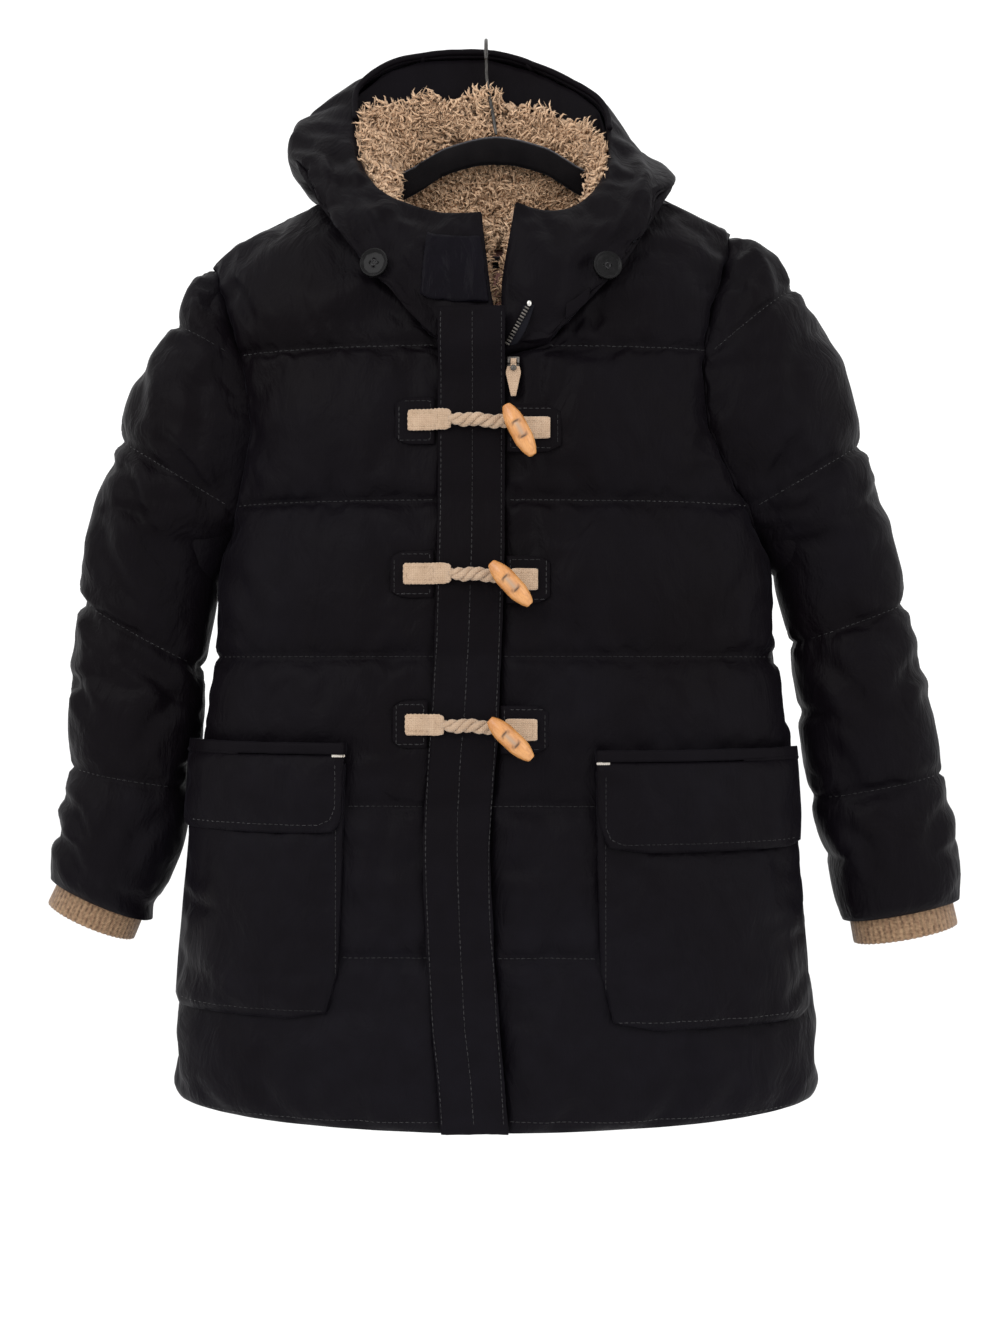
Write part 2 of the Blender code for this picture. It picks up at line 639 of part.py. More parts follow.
def hood_grid(per_section=2, rows=HOOD_ROWS):
    """Outer and inner points of the hood's shell: rows down from the rim, columns round the neck."""
    sections = len(HOOD_SECTIONS)
    knots = np.arange(sections, dtype=float)
    at = np.linspace(0, sections - 1, (sections - 1) * per_section + 1)
    lines = []
    for part in ("rim", "brow", "crown", "fold"):
        lines.append(np.stack([smooth(at, knots, HOOD[f"{part}_{axis}"]) for axis in "xyz"], axis=1))
    seam = SEAM_WALL
    low_outer, low_inner = (
        np.stack([np.interp(at, knots, neck_nodes(inset)[:, i]) for i in range(3)], axis=1)
        for inset in (PAD - seam, PAD)
    )
    way = np.linspace(0, 4, rows + 1)
    outer = np.empty((rows + 1, len(at), 3))
    for c in range(len(at)):
        stack = np.array([line[c] for line in lines] + [low_outer[c]])
        for i in range(3):
            outer[:, c, i] = catmull(way, stack[:, i])
    clear_of_body(outer, at)
    normal = grid_normals(outer)
    normal *= np.sign((normal * (outer - np.array([CENTRE_X, 0, -110]))).sum(axis=2, keepdims=True))
    for axis in (0, 1, 0, 1):
        normal = blurred(normal, axis)
    normal /= np.linalg.norm(normal, axis=2, keepdims=True)
    inner = outer - normal * HOOD_WALL
    inner[-1] = low_inner
    inner[-2] = outer[-2] - normal[-2] * HOOD_WALL
    return at, outer, inner, normal


def ply_inner(outer, neck_edge):
    """Inner sheet of the hood's shell, thinner where its two plies lie close together."""
    normal = grid_normals(outer)
    normal *= np.sign((normal * (outer - np.array([CENTRE_X, 0, -110]))).sum())
    for axis in (0, 1):
        normal = blurred(normal, axis)
    normal /= np.linalg.norm(normal, axis=2, keepdims=True)
    thick = np.clip(FOLD_SHARE * room_behind(outer, normal), *PLY_WALL)[..., None]
    inner = outer - normal * thick
    inner[-1] = neck_edge
    return inner


def room_behind(sheet, normal):
    """Radius of the largest ball that touches each point of a sheet from behind and holds no other point."""
    rows, cols = sheet.shape[:2]
    tall, wide = np.linspace(0, rows - 1, 5 * rows - 4), np.linspace(0, cols - 1, 5 * cols - 4)
    fine = np.stack([[np.interp(tall, range(rows), column) for column in sheet[..., i].T] for i in range(3)])
    fine = np.array([[np.interp(wide, range(cols), row) for row in part.T] for part in fine]).reshape(3, -1).T
    room = np.full((rows, cols), np.inf)
    for r in range(rows):
        for c in range(cols):
            apart = fine - sheet[r, c]
            depth = -apart @ normal[r, c]
            reach = (apart**2).sum(axis=1)
            behind = (depth > 0.4) & (depth > 0.35 * np.sqrt(reach))
            if behind.any():
                room[r, c] = (reach[behind] / (2 * depth[behind])).min()
    return room


def blurred(grid, axis):
    """Each point averaged with its two neighbours along one axis of a grid."""
    padded = np.concatenate([grid.take([0], axis), grid, grid.take([-1], axis)], axis)
    count = grid.shape[axis]
    low, middle, high = (padded.take(range(i, i + count), axis) for i in range(3))
    return (low + 2 * middle + high) / 4


def neck_half(z):
    """Half width of the neck opening at a height."""
    return np.interp((z - YOKE_Z) / (SHOULDER_Z - YOKE_Z), NECK["share"], NECK["half"])


def clear_of_body(outer, at):
    """Moves the hood's rows off the shoulders, all but the last, which runs in to the neck seam."""
    for r in range(len(outer) - 1):
        x, y, z = outer[r].T
        over_cloth = np.clip((np.abs(x - CENTRE_X) - neck_half(z) + 14) / 12, 0, 1)
        grow = HOOD_WALL + HOOD_CLEAR
        front = y + (np.minimum(y, body_y(x, z, -grow, FRONT)) - y) * over_cloth
        back = y + (np.maximum(y, body_y(x, z, -grow, BACK)) - y) * over_cloth
        low = z < shoulder_z(x) + grow
        y = np.where(low & (at < SHOULDER_SECTIONS[0]), front, y)
        y = np.where(low & (at > SHOULDER_SECTIONS[0]) & (at < SHOULDER_SECTIONS[1]), back, y)
        y = np.where(low & (at > SHOULDER_SECTIONS[1]), front, y)
        outer[r, :, 1] = y
        on_top = np.isin(at, SHOULDER_SECTIONS)
        outer[r, :, 2] = np.where(on_top, np.maximum(z, shoulder_z(x) + grow), z)


def catmull(where, values):
    """Catmull-Rom through evenly spaced values."""
    last = len(values) - 1
    i = np.clip(where.astype(int), 0, last - 1)
    t = where - i
    p0, p1 = values[np.maximum(i - 1, 0)], values[i]
    p2, p3 = values[i + 1], values[np.minimum(i + 2, last)]
    p0 = np.where(i == 0, 2 * p1 - p2, p0)
    p3 = np.where(i == last - 1, 2 * p2 - p1, p3)
    a = 2 * p1 + (p2 - p0) * t
    b = (2 * p0 - 5 * p1 + 4 * p2 - p3) * t**2
    c = (3 * p1 - p0 - 3 * p2 + p3) * t**3
    return 0.5 * (a + b + c)


def make_hood(finish):
    at, outer, inner, _ = hood_grid()
    inner = ply_inner(outer, inner[-1])
    left, right = (int(round(s * 2)) for s in HOOD_SPLIT)
    shift = HOOD_SEAM_GAP / 2
    for name, columns_of in (
        ("hood_side_left", slice(0, left + 1)),
        ("hood_center", slice(left, right + 1)),
        ("hood_side_right", slice(right, len(at))),
    ):
        part_out, part_in = outer[:, columns_of].copy(), inner[:, columns_of].copy()
        for edge, step in ((0, 1), (-1, -1)):
            if (edge == 0 and columns_of.start == 0) or (edge == -1 and columns_of.stop == len(at)):
                continue
            away = part_out[:, edge + step] - part_out[:, edge]
            away /= np.linalg.norm(away, axis=1, keepdims=True)
            part_out[:, edge] += away * shift
            part_in[:, edge] += away * shift
        wall(name, part_out, part_in, finish)


def lining_lines(at, inner, normal):
    """Top and bottom of the fleece for each column, behind the shell."""
    rim = inner[0] - normal[0] * LIE * 2
    low = inner[-1] - normal[-2] * (LIE + 1.8)
    rim = rim + (inner[1] - inner[0]) * 0.12
    return rim, low


def make_lining(finish, facing_finish):
    at, _, inner, normal = hood_grid(per_section=1)
    rim, low = lining_lines(at, inner, normal)
    knots = np.arange(len(HOOD_SECTIONS), dtype=float)
    width = np.interp(at, knots, FACING_WIDTH)
    low = low.copy()
    reach = np.abs(low[:, 0] - CENTRE_X)
    over_arm = (np.abs(low[:, 1]) < 14) & (reach > 40)
    low[:, 2] = np.where(over_arm, np.maximum(low[:, 2], -90), low[:, 2])
    centre = np.array([CENTRE_X, 0, 0])
    way = np.linspace(0, 1, FUR_ROWS + 1)[:, None, None]
    inward = centre - rim
    inward[:, 2] = 0
    inward /= np.linalg.norm(inward, axis=1, keepdims=True)
    middle = (rim + low) / 2 + inward * 2
    top = rim + np.array([0, 0, -1]) * width[:, None] + inward * (width[:, None] * 0.1)
    back = (at > 5.5) & (at < 12.5)
    middle[back] = (top[back] + low[back]) / 2 + inward[back] * 4
    outer = top * (1 - way) ** 2 + middle * 2 * way * (1 - way) + low * way**2
    slack = np.array([12.0, 1.0] + [-5.0] * (FUR_ROWS - 1))[:, None]
    limit = neck_half(outer[..., 2]) + slack + 2 * np.maximum(outer[..., 2] - SHOULDER_Z, 0)
    outer[..., 0] = np.clip(outer[..., 0], CENTRE_X - limit, CENTRE_X + limit)
    level_in = (centre - outer) * (1, 1, 0)
    level_in /= np.linalg.norm(level_in, axis=2, keepdims=True)
    fleece = outer + (normal_in(outer, centre) * 0.35 + level_in * 0.65) * FUR_WALL
    wall("hood_lining", outer, fleece, finish)
    held = np.where(width > 3)[0]
    held = slice(held[0], held[-1] + 1)
    share = np.linspace(0, 1, 5)[:, None, None]
    strip_top = rim[held]
    strip_low = (top + (rim - top) * (2.0 / np.maximum(width, 4))[:, None])[held]
    strip = strip_top * (1 - share) + strip_low * share
    inside = strip + normal_in(strip, centre) * FACING_WALL
    wall("hood_facing", strip, inside, facing_finish)


def normal_in(points, centre):
    normal = grid_normals(points)
    target = centre + np.array([0, 0, -90]) - points
    return normal * np.sign((normal * target).sum(axis=2, keepdims=True))


# ---------------------------------------------------------------- what lies on the panels


def raised_patch(name, sheet, lift, thick, finish, round_corners=()):
    """A patch over a stretch of a panel's own grid, moved out along its normals."""
    normal = grid_normals(sheet)
    normal *= np.sign(-normal[..., 1:2])
    base = sheet.copy()
    for r, c in round_corners:
        to_row = 1 if r == 0 else -2
        to_col = 1 if c == 0 else -2
        base[r, c] = sheet[r, c] * 0.64 + sheet[to_row, c] * 0.16 + sheet[r, to_col] * 0.2
    outer = base + normal * (lift + thick)
    inner = base + normal * lift
    return wall(name, outer, inner, finish)


def make_pocket(side, tag, rows, shares, outer, finish):
    pocket = dict(zip(POCKET_COLUMNS, POCKETS[side]))
    heights = [z for z, _ in rows]
    first = 3 if side == LEFT else 2
    last = first + 6

    def rows_between(low, high):
        return slice(heights.index(low), heights.index(high) + 1)

    def stretch(low, high):
        return outer[rows_between(low, high), first:last + 1]

    patch = stretch(pocket["patch_end"], pocket["flap"] - 6)
    raised_patch(f"pocket_{tag}", patch, LIE, POCKET_WALL, finish, ((0, 0), (0, -1)))
    flap = stretch(pocket["flap_end"], pocket["flap"]).copy()
    flap[-1, :, 2] -= GAP
    lift = LIE + POCKET_WALL + LIE
    raised_patch(f"pocket_flap_{tag}", flap, lift, FLAP_WALL, finish, ((0, 0), (0, -1)))
    welt = stretch(pocket["flap"], pocket["welt"])
    raised_patch(f"pocket_welt_{tag}", welt, LIE, lift + FLAP_WALL - LIE, finish)


def front_face(x, z, inset):
    """The front's full-puff surface at places given by arrays."""
    share = np.where(z > YOKE_Z, (z - YOKE_Z) / (shoulder_z(x) - YOKE_Z), 0)
    raised = quilt(z, share)
    return body_y(x, z, (PAD - SEAM_WALL) * (1 - raised) - inset, FRONT)


def placket_face(x, z, lift):
    """The placket's surface: over the front, and clear of the collar above it."""
    over_collar = np.clip((z + 268) / 22, 0, 1)
    return front_face(x, z, LIE + lift) - 13.5 * over_collar


def make_placket(finish):
    heights = np.array([HEM_Z + 1] + [z for z in lower_rows(pocket_rows(LEFT)) if z > HEM_Z + 5] +
                       [z for z in CHEST_ROWS if z < NECK_FRONT_Z] + [-268, -257, -246, PLACKET_TOP])
    heights = np.unique(heights)
    edge = CENTRE_X + np.interp(heights, PLACKET["z"], PLACKET["edge"])
    share = np.linspace(0, 1, 4)
    x = edge[:, None] - PLACKET_WIDTH * (1 - share)[None]
    z = np.repeat(heights[:, None], len(share), axis=1)
    outer = np.stack([x, placket_face(x, z, PLACKET_WALL), z], axis=2)
    inner = np.stack([x, placket_face(x, z, 0), z], axis=2)
    wall("placket", outer, inner, finish)


def make_zip(finish):
    """The closed zip between the fronts, hidden behind the placket."""
    heights = np.array([HEM_Z + 12] + [z for z in lower_rows() if z > HEM_Z + 20] +
                       [z for z in CHEST_ROWS if z < NECK_FRONT_Z])
    heights = np.unique(heights)
    sheets = []
    for inset in (PAD - SEAM_WALL + 1.2, PAD - 1.2):
        edges = [CENTRE_X + side * (zip_half(side, heights) - GAP - 0.7) for side in (LEFT, RIGHT)]
        x = np.stack(edges, axis=1)
        z = np.repeat(heights[:, None], 2, axis=1)
        sheets.append(np.stack([x, body_y(x, z, inset, FRONT), z], axis=2))
    wall("zip_closed", sheets[0], sheets[1], finish)


def box_outline(low, high):
    return [(low[0], low[1]), (high[0], low[1]), (high[0], high[1]), (low[0], high[1])]


def slab(name, outline, y_back, y_front, finish, hidden=False):
    """An outline in x and z, extruded along y."""
    rings = [np.array([(x, y, z) for x, z in outline]) for y in (y_back, y_front)]
    made = tube(name, rings, finish, 30)
    if hidden:
        made.hide_render = True
        made.display_type = "WIRE"
        made.hide_set(True)
    return made


def rod(name, start, end, radius, finish, hidden=False, sides=12):
    start, end = np.array(start, float), np.array(end, float)
    axis = (end - start) / np.linalg.norm(end - start)
    side = np.cross(axis, [0, 0, 1.0] if abs(axis[2]) < 0.9 else [1.0, 0, 0])
    side /= np.linalg.norm(side)
    other = np.cross(axis, side)
    angle = np.arange(sides) * 2 * math.pi / sides
    circle = radius * (np.cos(angle)[:, None] * side + np.sin(angle)[:, None] * other)
    made = tube(name, [start + circle, end + circle], finish, 30)
    if hidden:
        made.hide_render = True
        made.display_type = "WIRE"
        made.hide_set(True)
    return made


def combine(target, helper, operation):
    modifier = target.modifiers.new(operation.lower(), "BOOLEAN")
    modifier.operation = operation
    modifier.solver = "EXACT"
    modifier.object = helper


def slider_y():
    x, z = np.array(SLIDER_X), np.array(SLIDER_Z)
    return float(front_face(x, z, 0)) - 0.9


def make_slider_and_pull(metal, webbing):
    back = slider_y()
    front = back - SLIDER_THICK
    pin_y = front - EYE_RADIUS - PIN_CLEARANCE
    pin_z = SLIDER_Z + 1.5
    half = SLIDER_WIDTH / 2
    body = slab(
        "zip_slider",
        ((SLIDER_X - half * 0.7, SLIDER_Z - SLIDER_HEIGHT / 2), (SLIDER_X + half * 0.7, SLIDER_Z - SLIDER_HEIGHT / 2),
         (SLIDER_X + half, SLIDER_Z + 1), (SLIDER_X + half, SLIDER_Z + SLIDER_HEIGHT / 2),
         (SLIDER_X - half, SLIDER_Z + SLIDER_HEIGHT / 2), (SLIDER_X - half, SLIDER_Z + 1)),
        back, front, metal,
    )
    for sign in (-1, 1):
        inner, outer = SLIDER_X + sign * 2.6, SLIDER_X + sign * 3.9
        cheek = slab(
            f"cutter_cheek_{sign + 1}",
            box_outline((min(inner, outer), pin_z - 1.6), (max(inner, outer), pin_z + 1.6)),
            front + 0.6, pin_y - 1.3, metal, hidden=True,
        )
        combine(body, cheek, "UNION")
    pin = rod("cutter_pin", (SLIDER_X - 3.2, pin_y, pin_z), (SLIDER_X + 3.2, pin_y, pin_z), PIN_RADIUS, metal, True)
    combine(body, pin, "UNION")
    top = pin_z - EYE_RADIUS * 0.6
    pull = slab(
        "zip_pull_tab",
        ((SLIDER_X - PULL_TIP / 2, top - PULL_LENGTH), (SLIDER_X + PULL_TIP / 2, top - PULL_LENGTH),
         (SLIDER_X + PULL_WIDTH / 2, top - 7), (SLIDER_X + PULL_WIDTH / 2 - 1, top - 2.6),
         (SLIDER_X + 2, top - 2.4), (SLIDER_X + 2, top + 0.4),
         (SLIDER_X - 2, top + 0.4), (SLIDER_X - 2, top - 2.4),
         (SLIDER_X - PULL_WIDTH / 2 + 1, top - 2.6), (SLIDER_X - PULL_WIDTH / 2, top - 7)),
        pin_y + PULL_THICK / 2, pin_y - PULL_THICK / 2, webbing,
    )
    eye = rod("cutter_eye", (SLIDER_X - 2, pin_y, pin_z), (SLIDER_X + 2, pin_y, pin_z), EYE_RADIUS, webbing, True)
    bore = rod("cutter_bore", (SLIDER_X - 5, pin_y, pin_z), (SLIDER_X + 5, pin_y, pin_z),
               PIN_RADIUS + PIN_CLEARANCE, webbing, True)
    combine(pull, eye, "UNION")
    combine(pull, bore, "DIFFERENCE")
    hinge = Vector((SLIDER_X, pin_y, pin_z)) * MM
    pull.data.transform(Matrix.Translation(-hinge))
    pull.location = hinge


def front_patch(name, corners, lift, thick, finish, round_side):
    """A rounded patch lying on a front: corners are x and z of its lower left and upper right."""
    (x0, z0), (x1, z1) = corners
    across, up = np.linspace(0, 1, 5), np.linspace(0, 1, 4)
    x = x0 + (x1 - x0) * across[None] + 0 * up[:, None]
    squeeze = np.clip(across if round_side == LEFT else 1 - across, 0, 1)
    reach = np.where(squeeze < 0.3, np.sqrt(np.clip(1 - (1 - squeeze / 0.3) ** 2 * 0.5, 0, 1)), 1)
    z = (z0 + z1) / 2 + (z1 - z0) * (up[:, None] - 0.5) * reach[None]
    outer = np.stack([x, front_face(x, z, lift + thick), z], axis=2)
    inner = np.stack([x, front_face(x, z, lift), z], axis=2)
    return wall(name, outer, inner, finish)


def ellipse_ring(centre, half_high, half_thick, twist=0.0, lobes=0.0, power=1.0, count=10):
    """A ring across x: half_high along z, half_thick along y, with rope lobes turned by twist."""
    angle = np.arange(count) * 2 * math.pi / count
    swell = 1 + lobes * np.cos(ROPE_LOBES * (angle - twist))
    y = np.sign(np.sin(angle)) * np.abs(np.sin(angle)) ** power * half_thick * swell
    z = np.sign(np.cos(angle)) * np.abs(np.cos(angle)) ** power * half_high * swell
    return np.stack([0 * y, y, z], axis=1) + np.array(centre)


def make_toggle_set(number, row, cloth, webbing, wood):
    t = dict(zip(TOGGLE_COLUMNS, row))
    z = t["z"]
    placket_edge = CENTRE_X + float(np.interp(z, PLACKET["z"], PLACKET["edge"]))
    placket_start = placket_edge - PLACKET_WIDTH
    front_patch(
        f"toggle_patch_left_{number}", ((t["flat_x"] - 9, z - PATCH_HALF), (placket_start - 2.2, z + PATCH_HALF)),
        LIE, PATCH_WALL, cloth, LEFT,
    )
    front_patch(
        f"toggle_patch_right_{number}", ((placket_edge + 1.2, t["tail_z"] - PATCH_HALF),
                                         (t["patch_x"], t["tail_z"] + PATCH_HALF)),
        LIE, PATCH_WALL, cloth, RIGHT,
    )

    def front_y(x, height, lift):
        return float(front_face(np.array(float(x)), np.array(float(height)), lift))

    # the flat end lies on the patch, steps up at the placket's stitching and turns into rope
    on_patch = 2 * LIE + PATCH_WALL + TAPE_WALL / 2
    on_placket = 2 * LIE + PLACKET_WALL + ROPE_RADIUS * 1.16
    tape_end = placket_start + 6
    rope_end = placket_edge + 1.5
    rings = []
    for x in (t["flat_x"], t["flat_x"] + 1.2, placket_start - 5):
        half = TAPE_HALF - (0.8 if x == t["flat_x"] else 0)
        rings.append(ellipse_ring((x, front_y(x, z, on_patch), z), half, TAPE_WALL / 2, power=0.45))
    step_lift = 2 * LIE + PLACKET_WALL + TAPE_WALL / 2 + 0.5
    x = placket_start + 1
    rings.append(ellipse_ring((x, front_y(x, z, step_lift + 0.8), z), TAPE_HALF, TAPE_WALL / 2, power=0.5))
    steps = 10
    for i in range(steps + 1):
        share = i / steps
        x = tape_end + (rope_end - tape_end) * share
        height = z + (t["rope_z"] - z) * share
        thin = min(share * 6, 1)
        high = TAPE_HALF * (1 - thin) + ROPE_RADIUS * thin
        thick = TAPE_WALL / 2 * (1 - thin) + ROPE_RADIUS * thin
        lift = step_lift * (1 - thin) + on_placket * thin
        twist = 2 * math.pi * (x - tape_end) / ROPE_LAY / ROPE_LOBES
        rings.append(ellipse_ring((x, front_y(x, height, lift), height), high, thick, twist, 0.14 * thin,
                                  power=0.5 + 0.5 * thin))
    tube(f"toggle_loop_{number}", rings, webbing)

    # the short tail on the other front starts under the toggle
    rings = []
    tail_start = placket_edge + 4.6
    for x in (tail_start, tail_start + 1.4, (tail_start + t["tail_x"]) / 2, t["tail_x"] - 1.2, t["tail_x"]):
        half = TAPE_HALF - (0.8 if x in (tail_start, t["tail_x"]) else 0)
        place = (x, front_y(x, t["tail_z"], on_patch), t["tail_z"])
        rings.append(ellipse_ring(place, half, TAPE_WALL / 2, power=0.45))
    tube(f"toggle_tail_{number}", rings, webbing)

    lean = math.radians(t["lean"])
    along = np.array([-math.sin(lean), 0, math.cos(lean)])
    aside = np.array([math.cos(lean), 0, math.sin(lean)])
    forward = np.array([0, 1.0, 0])
    lift = on_placket + ROPE_RADIUS * 1.16 + TOGGLE_RADIUS + GAP - t["seat"]
    middle = np.array([t["centre_x"], front_y(placket_edge, t["centre_z"], lift), t["centre_z"]])
    rings = []
    profile = ((-0.5, 0.36), (-0.47, 0.56), (-0.36, 0.82), (-0.16, 1.0), (0.0, 0.97),
               (0.16, 1.0), (0.36, 0.82), (0.47, 0.56), (0.5, 0.36))
    angle = np.arange(12) * 2 * math.pi / 12
    for way, size in profile:
        radius = TOGGLE_RADIUS * size
        circle = radius * (np.cos(angle)[:, None] * aside + np.sin(angle)[:, None] * forward)
        rings.append(middle + along * way * TOGGLE_LENGTH + circle)
    tube(f"toggle_{number}", rings, wood)


def hood_place(section, share):
    """A point on the hood's outer surface, with the directions out, aside and up there."""
    step = 0.05
    sections = np.array([section, section + step])
    points, outs = hood_sample(sections, np.array([share, share]))
    out = outs[0]
    aside = points[1] - points[0]
    aside -= out * aside.dot(out)
    aside /= np.linalg.norm(aside)
    return points[0], out, aside, np.cross(out, aside)


def make_button(side, name, finish):
    place, out, aside, up = hood_place(*BUTTON_SECTIONS[side])
    place = place + out * (LIE + BUTTON_STAND)
    angle = np.arange(20) * 2 * math.pi / 20
    ring = np.cos(angle)[:, None] * aside + np.sin(angle)[:, None] * up
    profile = ((0.78, 0.0), (0.95, 0.3), (1.0, 1.4), (0.985, BUTTON_THICK - 0.6), (0.93, BUTTON_THICK),
               (0.86, BUTTON_THICK - 0.1), (0.76, BUTTON_THICK - BUTTON_DISH))
    rings = [place + ring * BUTTON_RADIUS * size + out * high for size, high in profile]
    body = tube(name, rings, finish, 30)
    for i in range(4):
        turn = math.radians(45 + 90 * i)
        hole = place + BUTTON_HOLE_RING * (math.cos(turn) * aside + math.sin(turn) * up)
        cutter = rod(f"cutter_{name}_{i}", hole - out * 2, hole + out * 6, BUTTON_HOLE_RADIUS, finish, True, 6)
        combine(body, cutter, "DIFFERENCE")


def hood_sample(sections, shares):
    """Points and unit normals on the hood for matching grids of sections and shares of the way down."""
    _, outer, _, normal = hood_grid()
    col, row = sections * 2, shares * HOOD_ROWS
    c = np.clip(col.astype(int), 0, outer.shape[1] - 2)
    r = np.clip(row.astype(int), 0, HOOD_ROWS - 1)
    fc, fr = (col - c)[..., None], (row - r)[..., None]

    def blend(grid):
        top = grid[r, c] * (1 - fc) + grid[r, c + 1] * fc
        low = grid[r + 1, c] * (1 - fc) + grid[r + 1, c + 1] * fc
        return top * (1 - fr) + low * fr

    out = blend(normal)
    return blend(outer), out / np.linalg.norm(out, axis=-1, keepdims=True)


def hood_patch(name, sections, shares, steps, lift, thick, finish):
    """A patch on the hood between two sections and two shares of the way down."""
    across = np.linspace(*sections, steps[1])[None] + np.zeros((steps[0], 1))
    down = np.linspace(*shares, steps[0])[:, None] + np.zeros((1, steps[1]))
    base, normal = hood_sample(across, down)
    return wall(name, base + normal * (lift + thick), base + normal * lift, finish)


def make_top_tape(finish):
    """The open stretch of zip tape that slants up from the slider over the collar."""
    (low_section, low_share), (high_section, high_share) = TOP_TAPE
    way = np.linspace(0, 1, 7)[:, None]
    edge = np.array([-1.0, 1.0])[None]
    sections = low_section + (high_section - low_section) * way + TOP_TAPE_HALF * edge
    shares = low_share + (high_share - low_share) * way + 0 * edge
    base, normal = hood_sample(sections, shares)
    wall("zip_tape_top", base + normal * (LIE + 1.4), base + normal * LIE, finish)


# ---------------------------------------------------------------- back neck lining and hanger


def make_back_neck_lining(finish):
    """The lining that shows inside the back below the nape."""
    x = CENTRE_X + np.linspace(-46, 46, 9)
    drop = np.linspace(0, 1, 6)
    top = back_top_z(x) - PAD - 3
    z = top[None] * (1 - drop[:, None]) + (-205.0) * drop[:, None]
    xs = np.repeat(x[None], 6, axis=0)
    outer = np.stack([xs, body_y(xs, z, PAD + 2 * LIE, BACK), z], axis=2)
    inner = np.stack([xs, body_y(xs, z, PAD + 2 * LIE + 1.6, BACK), z], axis=2)
    wall("back_neck_lining", outer, inner, finish)


def make_hanger(velvet, steel):
    """A flat shaped hanger with a lower bar, and a wire hook."""
    reach = np.array([0, 12, 24, 40, 60, 83.5, 105, 128, 150, 168, HANGER_HALF])
    slope_top = SHOULDER_Z - PAD - 0.5 - SHOULDER_SLOPE * (reach - NECK_HALF)
    top = np.where(reach < 60, np.interp(reach, *np.array(HANGER_TOP, float).T), slope_top)
    low = np.where(reach < 60, np.interp(reach, *np.array(HANGER_LOW, float).T), slope_top - ARM_DROP)
    low = np.maximum(low, BAR_TOP + 1.5)
    outline = [(r, t, v) for r, t, v in zip(reach, top, low)]
    tip = (HANGER_HALF + 4, (top[-1] + BAR_TOP - BAR_DROP) / 2, None)
    loop = []
    for sign in (1, -1):
        side = [((sign * r, t), (sign * min(r, HANGER_HALF - 9), v)) for r, t, v in outline]
        side.append(((sign * tip[0], tip[1]), (sign * (HANGER_HALF - 8), BAR_TOP + 0.6)))
        for r in (HANGER_HALF - 2, HANGER_HALF - 16, 120, 60):
            side.append(((sign * r, BAR_TOP - BAR_DROP), (sign * min(r, HANGER_HALF - 16), BAR_TOP)))
        loop += side if sign == 1 else side[:0:-1]
        if sign == 1:
            loop.append(((0, BAR_TOP - BAR_DROP), (0, BAR_TOP)))
    half = HANGER_THICK / 2
    rings = []
    for (ox, oz), (ix, iz) in loop:
        ox, ix = ox + CENTRE_X, ix + CENTRE_X
        soft = 0.75
        mid_o = (ox * soft + ix * (1 - soft), oz * soft + iz * (1 - soft))
        mid_i = (ox * (1 - soft) + ix * soft, oz * (1 - soft) + iz * soft)
        rings.append([
            (ox, 0, oz), (mid_o[0], -half, mid_o[1]), (mid_i[0], -half, mid_i[1]),
            (ix, 0, iz), (mid_i[0], half, mid_i[1]), (mid_o[0], half, mid_o[1]),
        ])
    made = bmesh.new()
    loops = [[made.verts.new(np.array(p) * MM) for p in ring] for ring in rings]
    for here, there in zip(loops, loops[1:] + loops[:1]):
        for i in range(6):
            j = (i + 1) % 6
            made.faces.new([here[i], here[j], there[j], there[i]])
    bmesh.ops.recalc_face_normals(made, faces=made.faces)
    mesh = bpy.data.meshes.new("hanger_body")
    made.to_mesh(mesh)
    made.free()
    add_object("hanger_body", mesh, velvet)

    bend = HOOK_INNER + HOOK_WIRE
    top_z = -HOOK_INNER
    foot = (CENTRE_X, 0.0, HANGER_TOP[0][1] + GAP)
    path = [foot, (CENTRE_X * 0.8, 0.3, -58), (CENTRE_X * 0.55, 3.5, -47), (CENTRE_X * 0.3, 11, -34)]
    for i in range(13):
        turn = math.radians(-12 + 17 * i)
        path.append((0.0, bend * math.cos(turn), top_z + bend * math.sin(turn)))
    rings = []
    points = np.array(path)
    tangent = np.gradient(points, axis=0)
    for place, way in zip(points, tangent):
        way /= np.linalg.norm(way)
        side = np.array([1.0, 0, 0]) - way * way[0]
        side /= np.linalg.norm(side)
        other = np.cross(way, side)
        angle = np.arange(8) * math.pi / 4
        rings.append(place + HOOK_WIRE * (np.cos(angle)[:, None] * side + np.sin(angle)[:, None] * other))
    tube("hanger_hook", rings, steel)


# ---------------------------------------------------------------- the whole coat


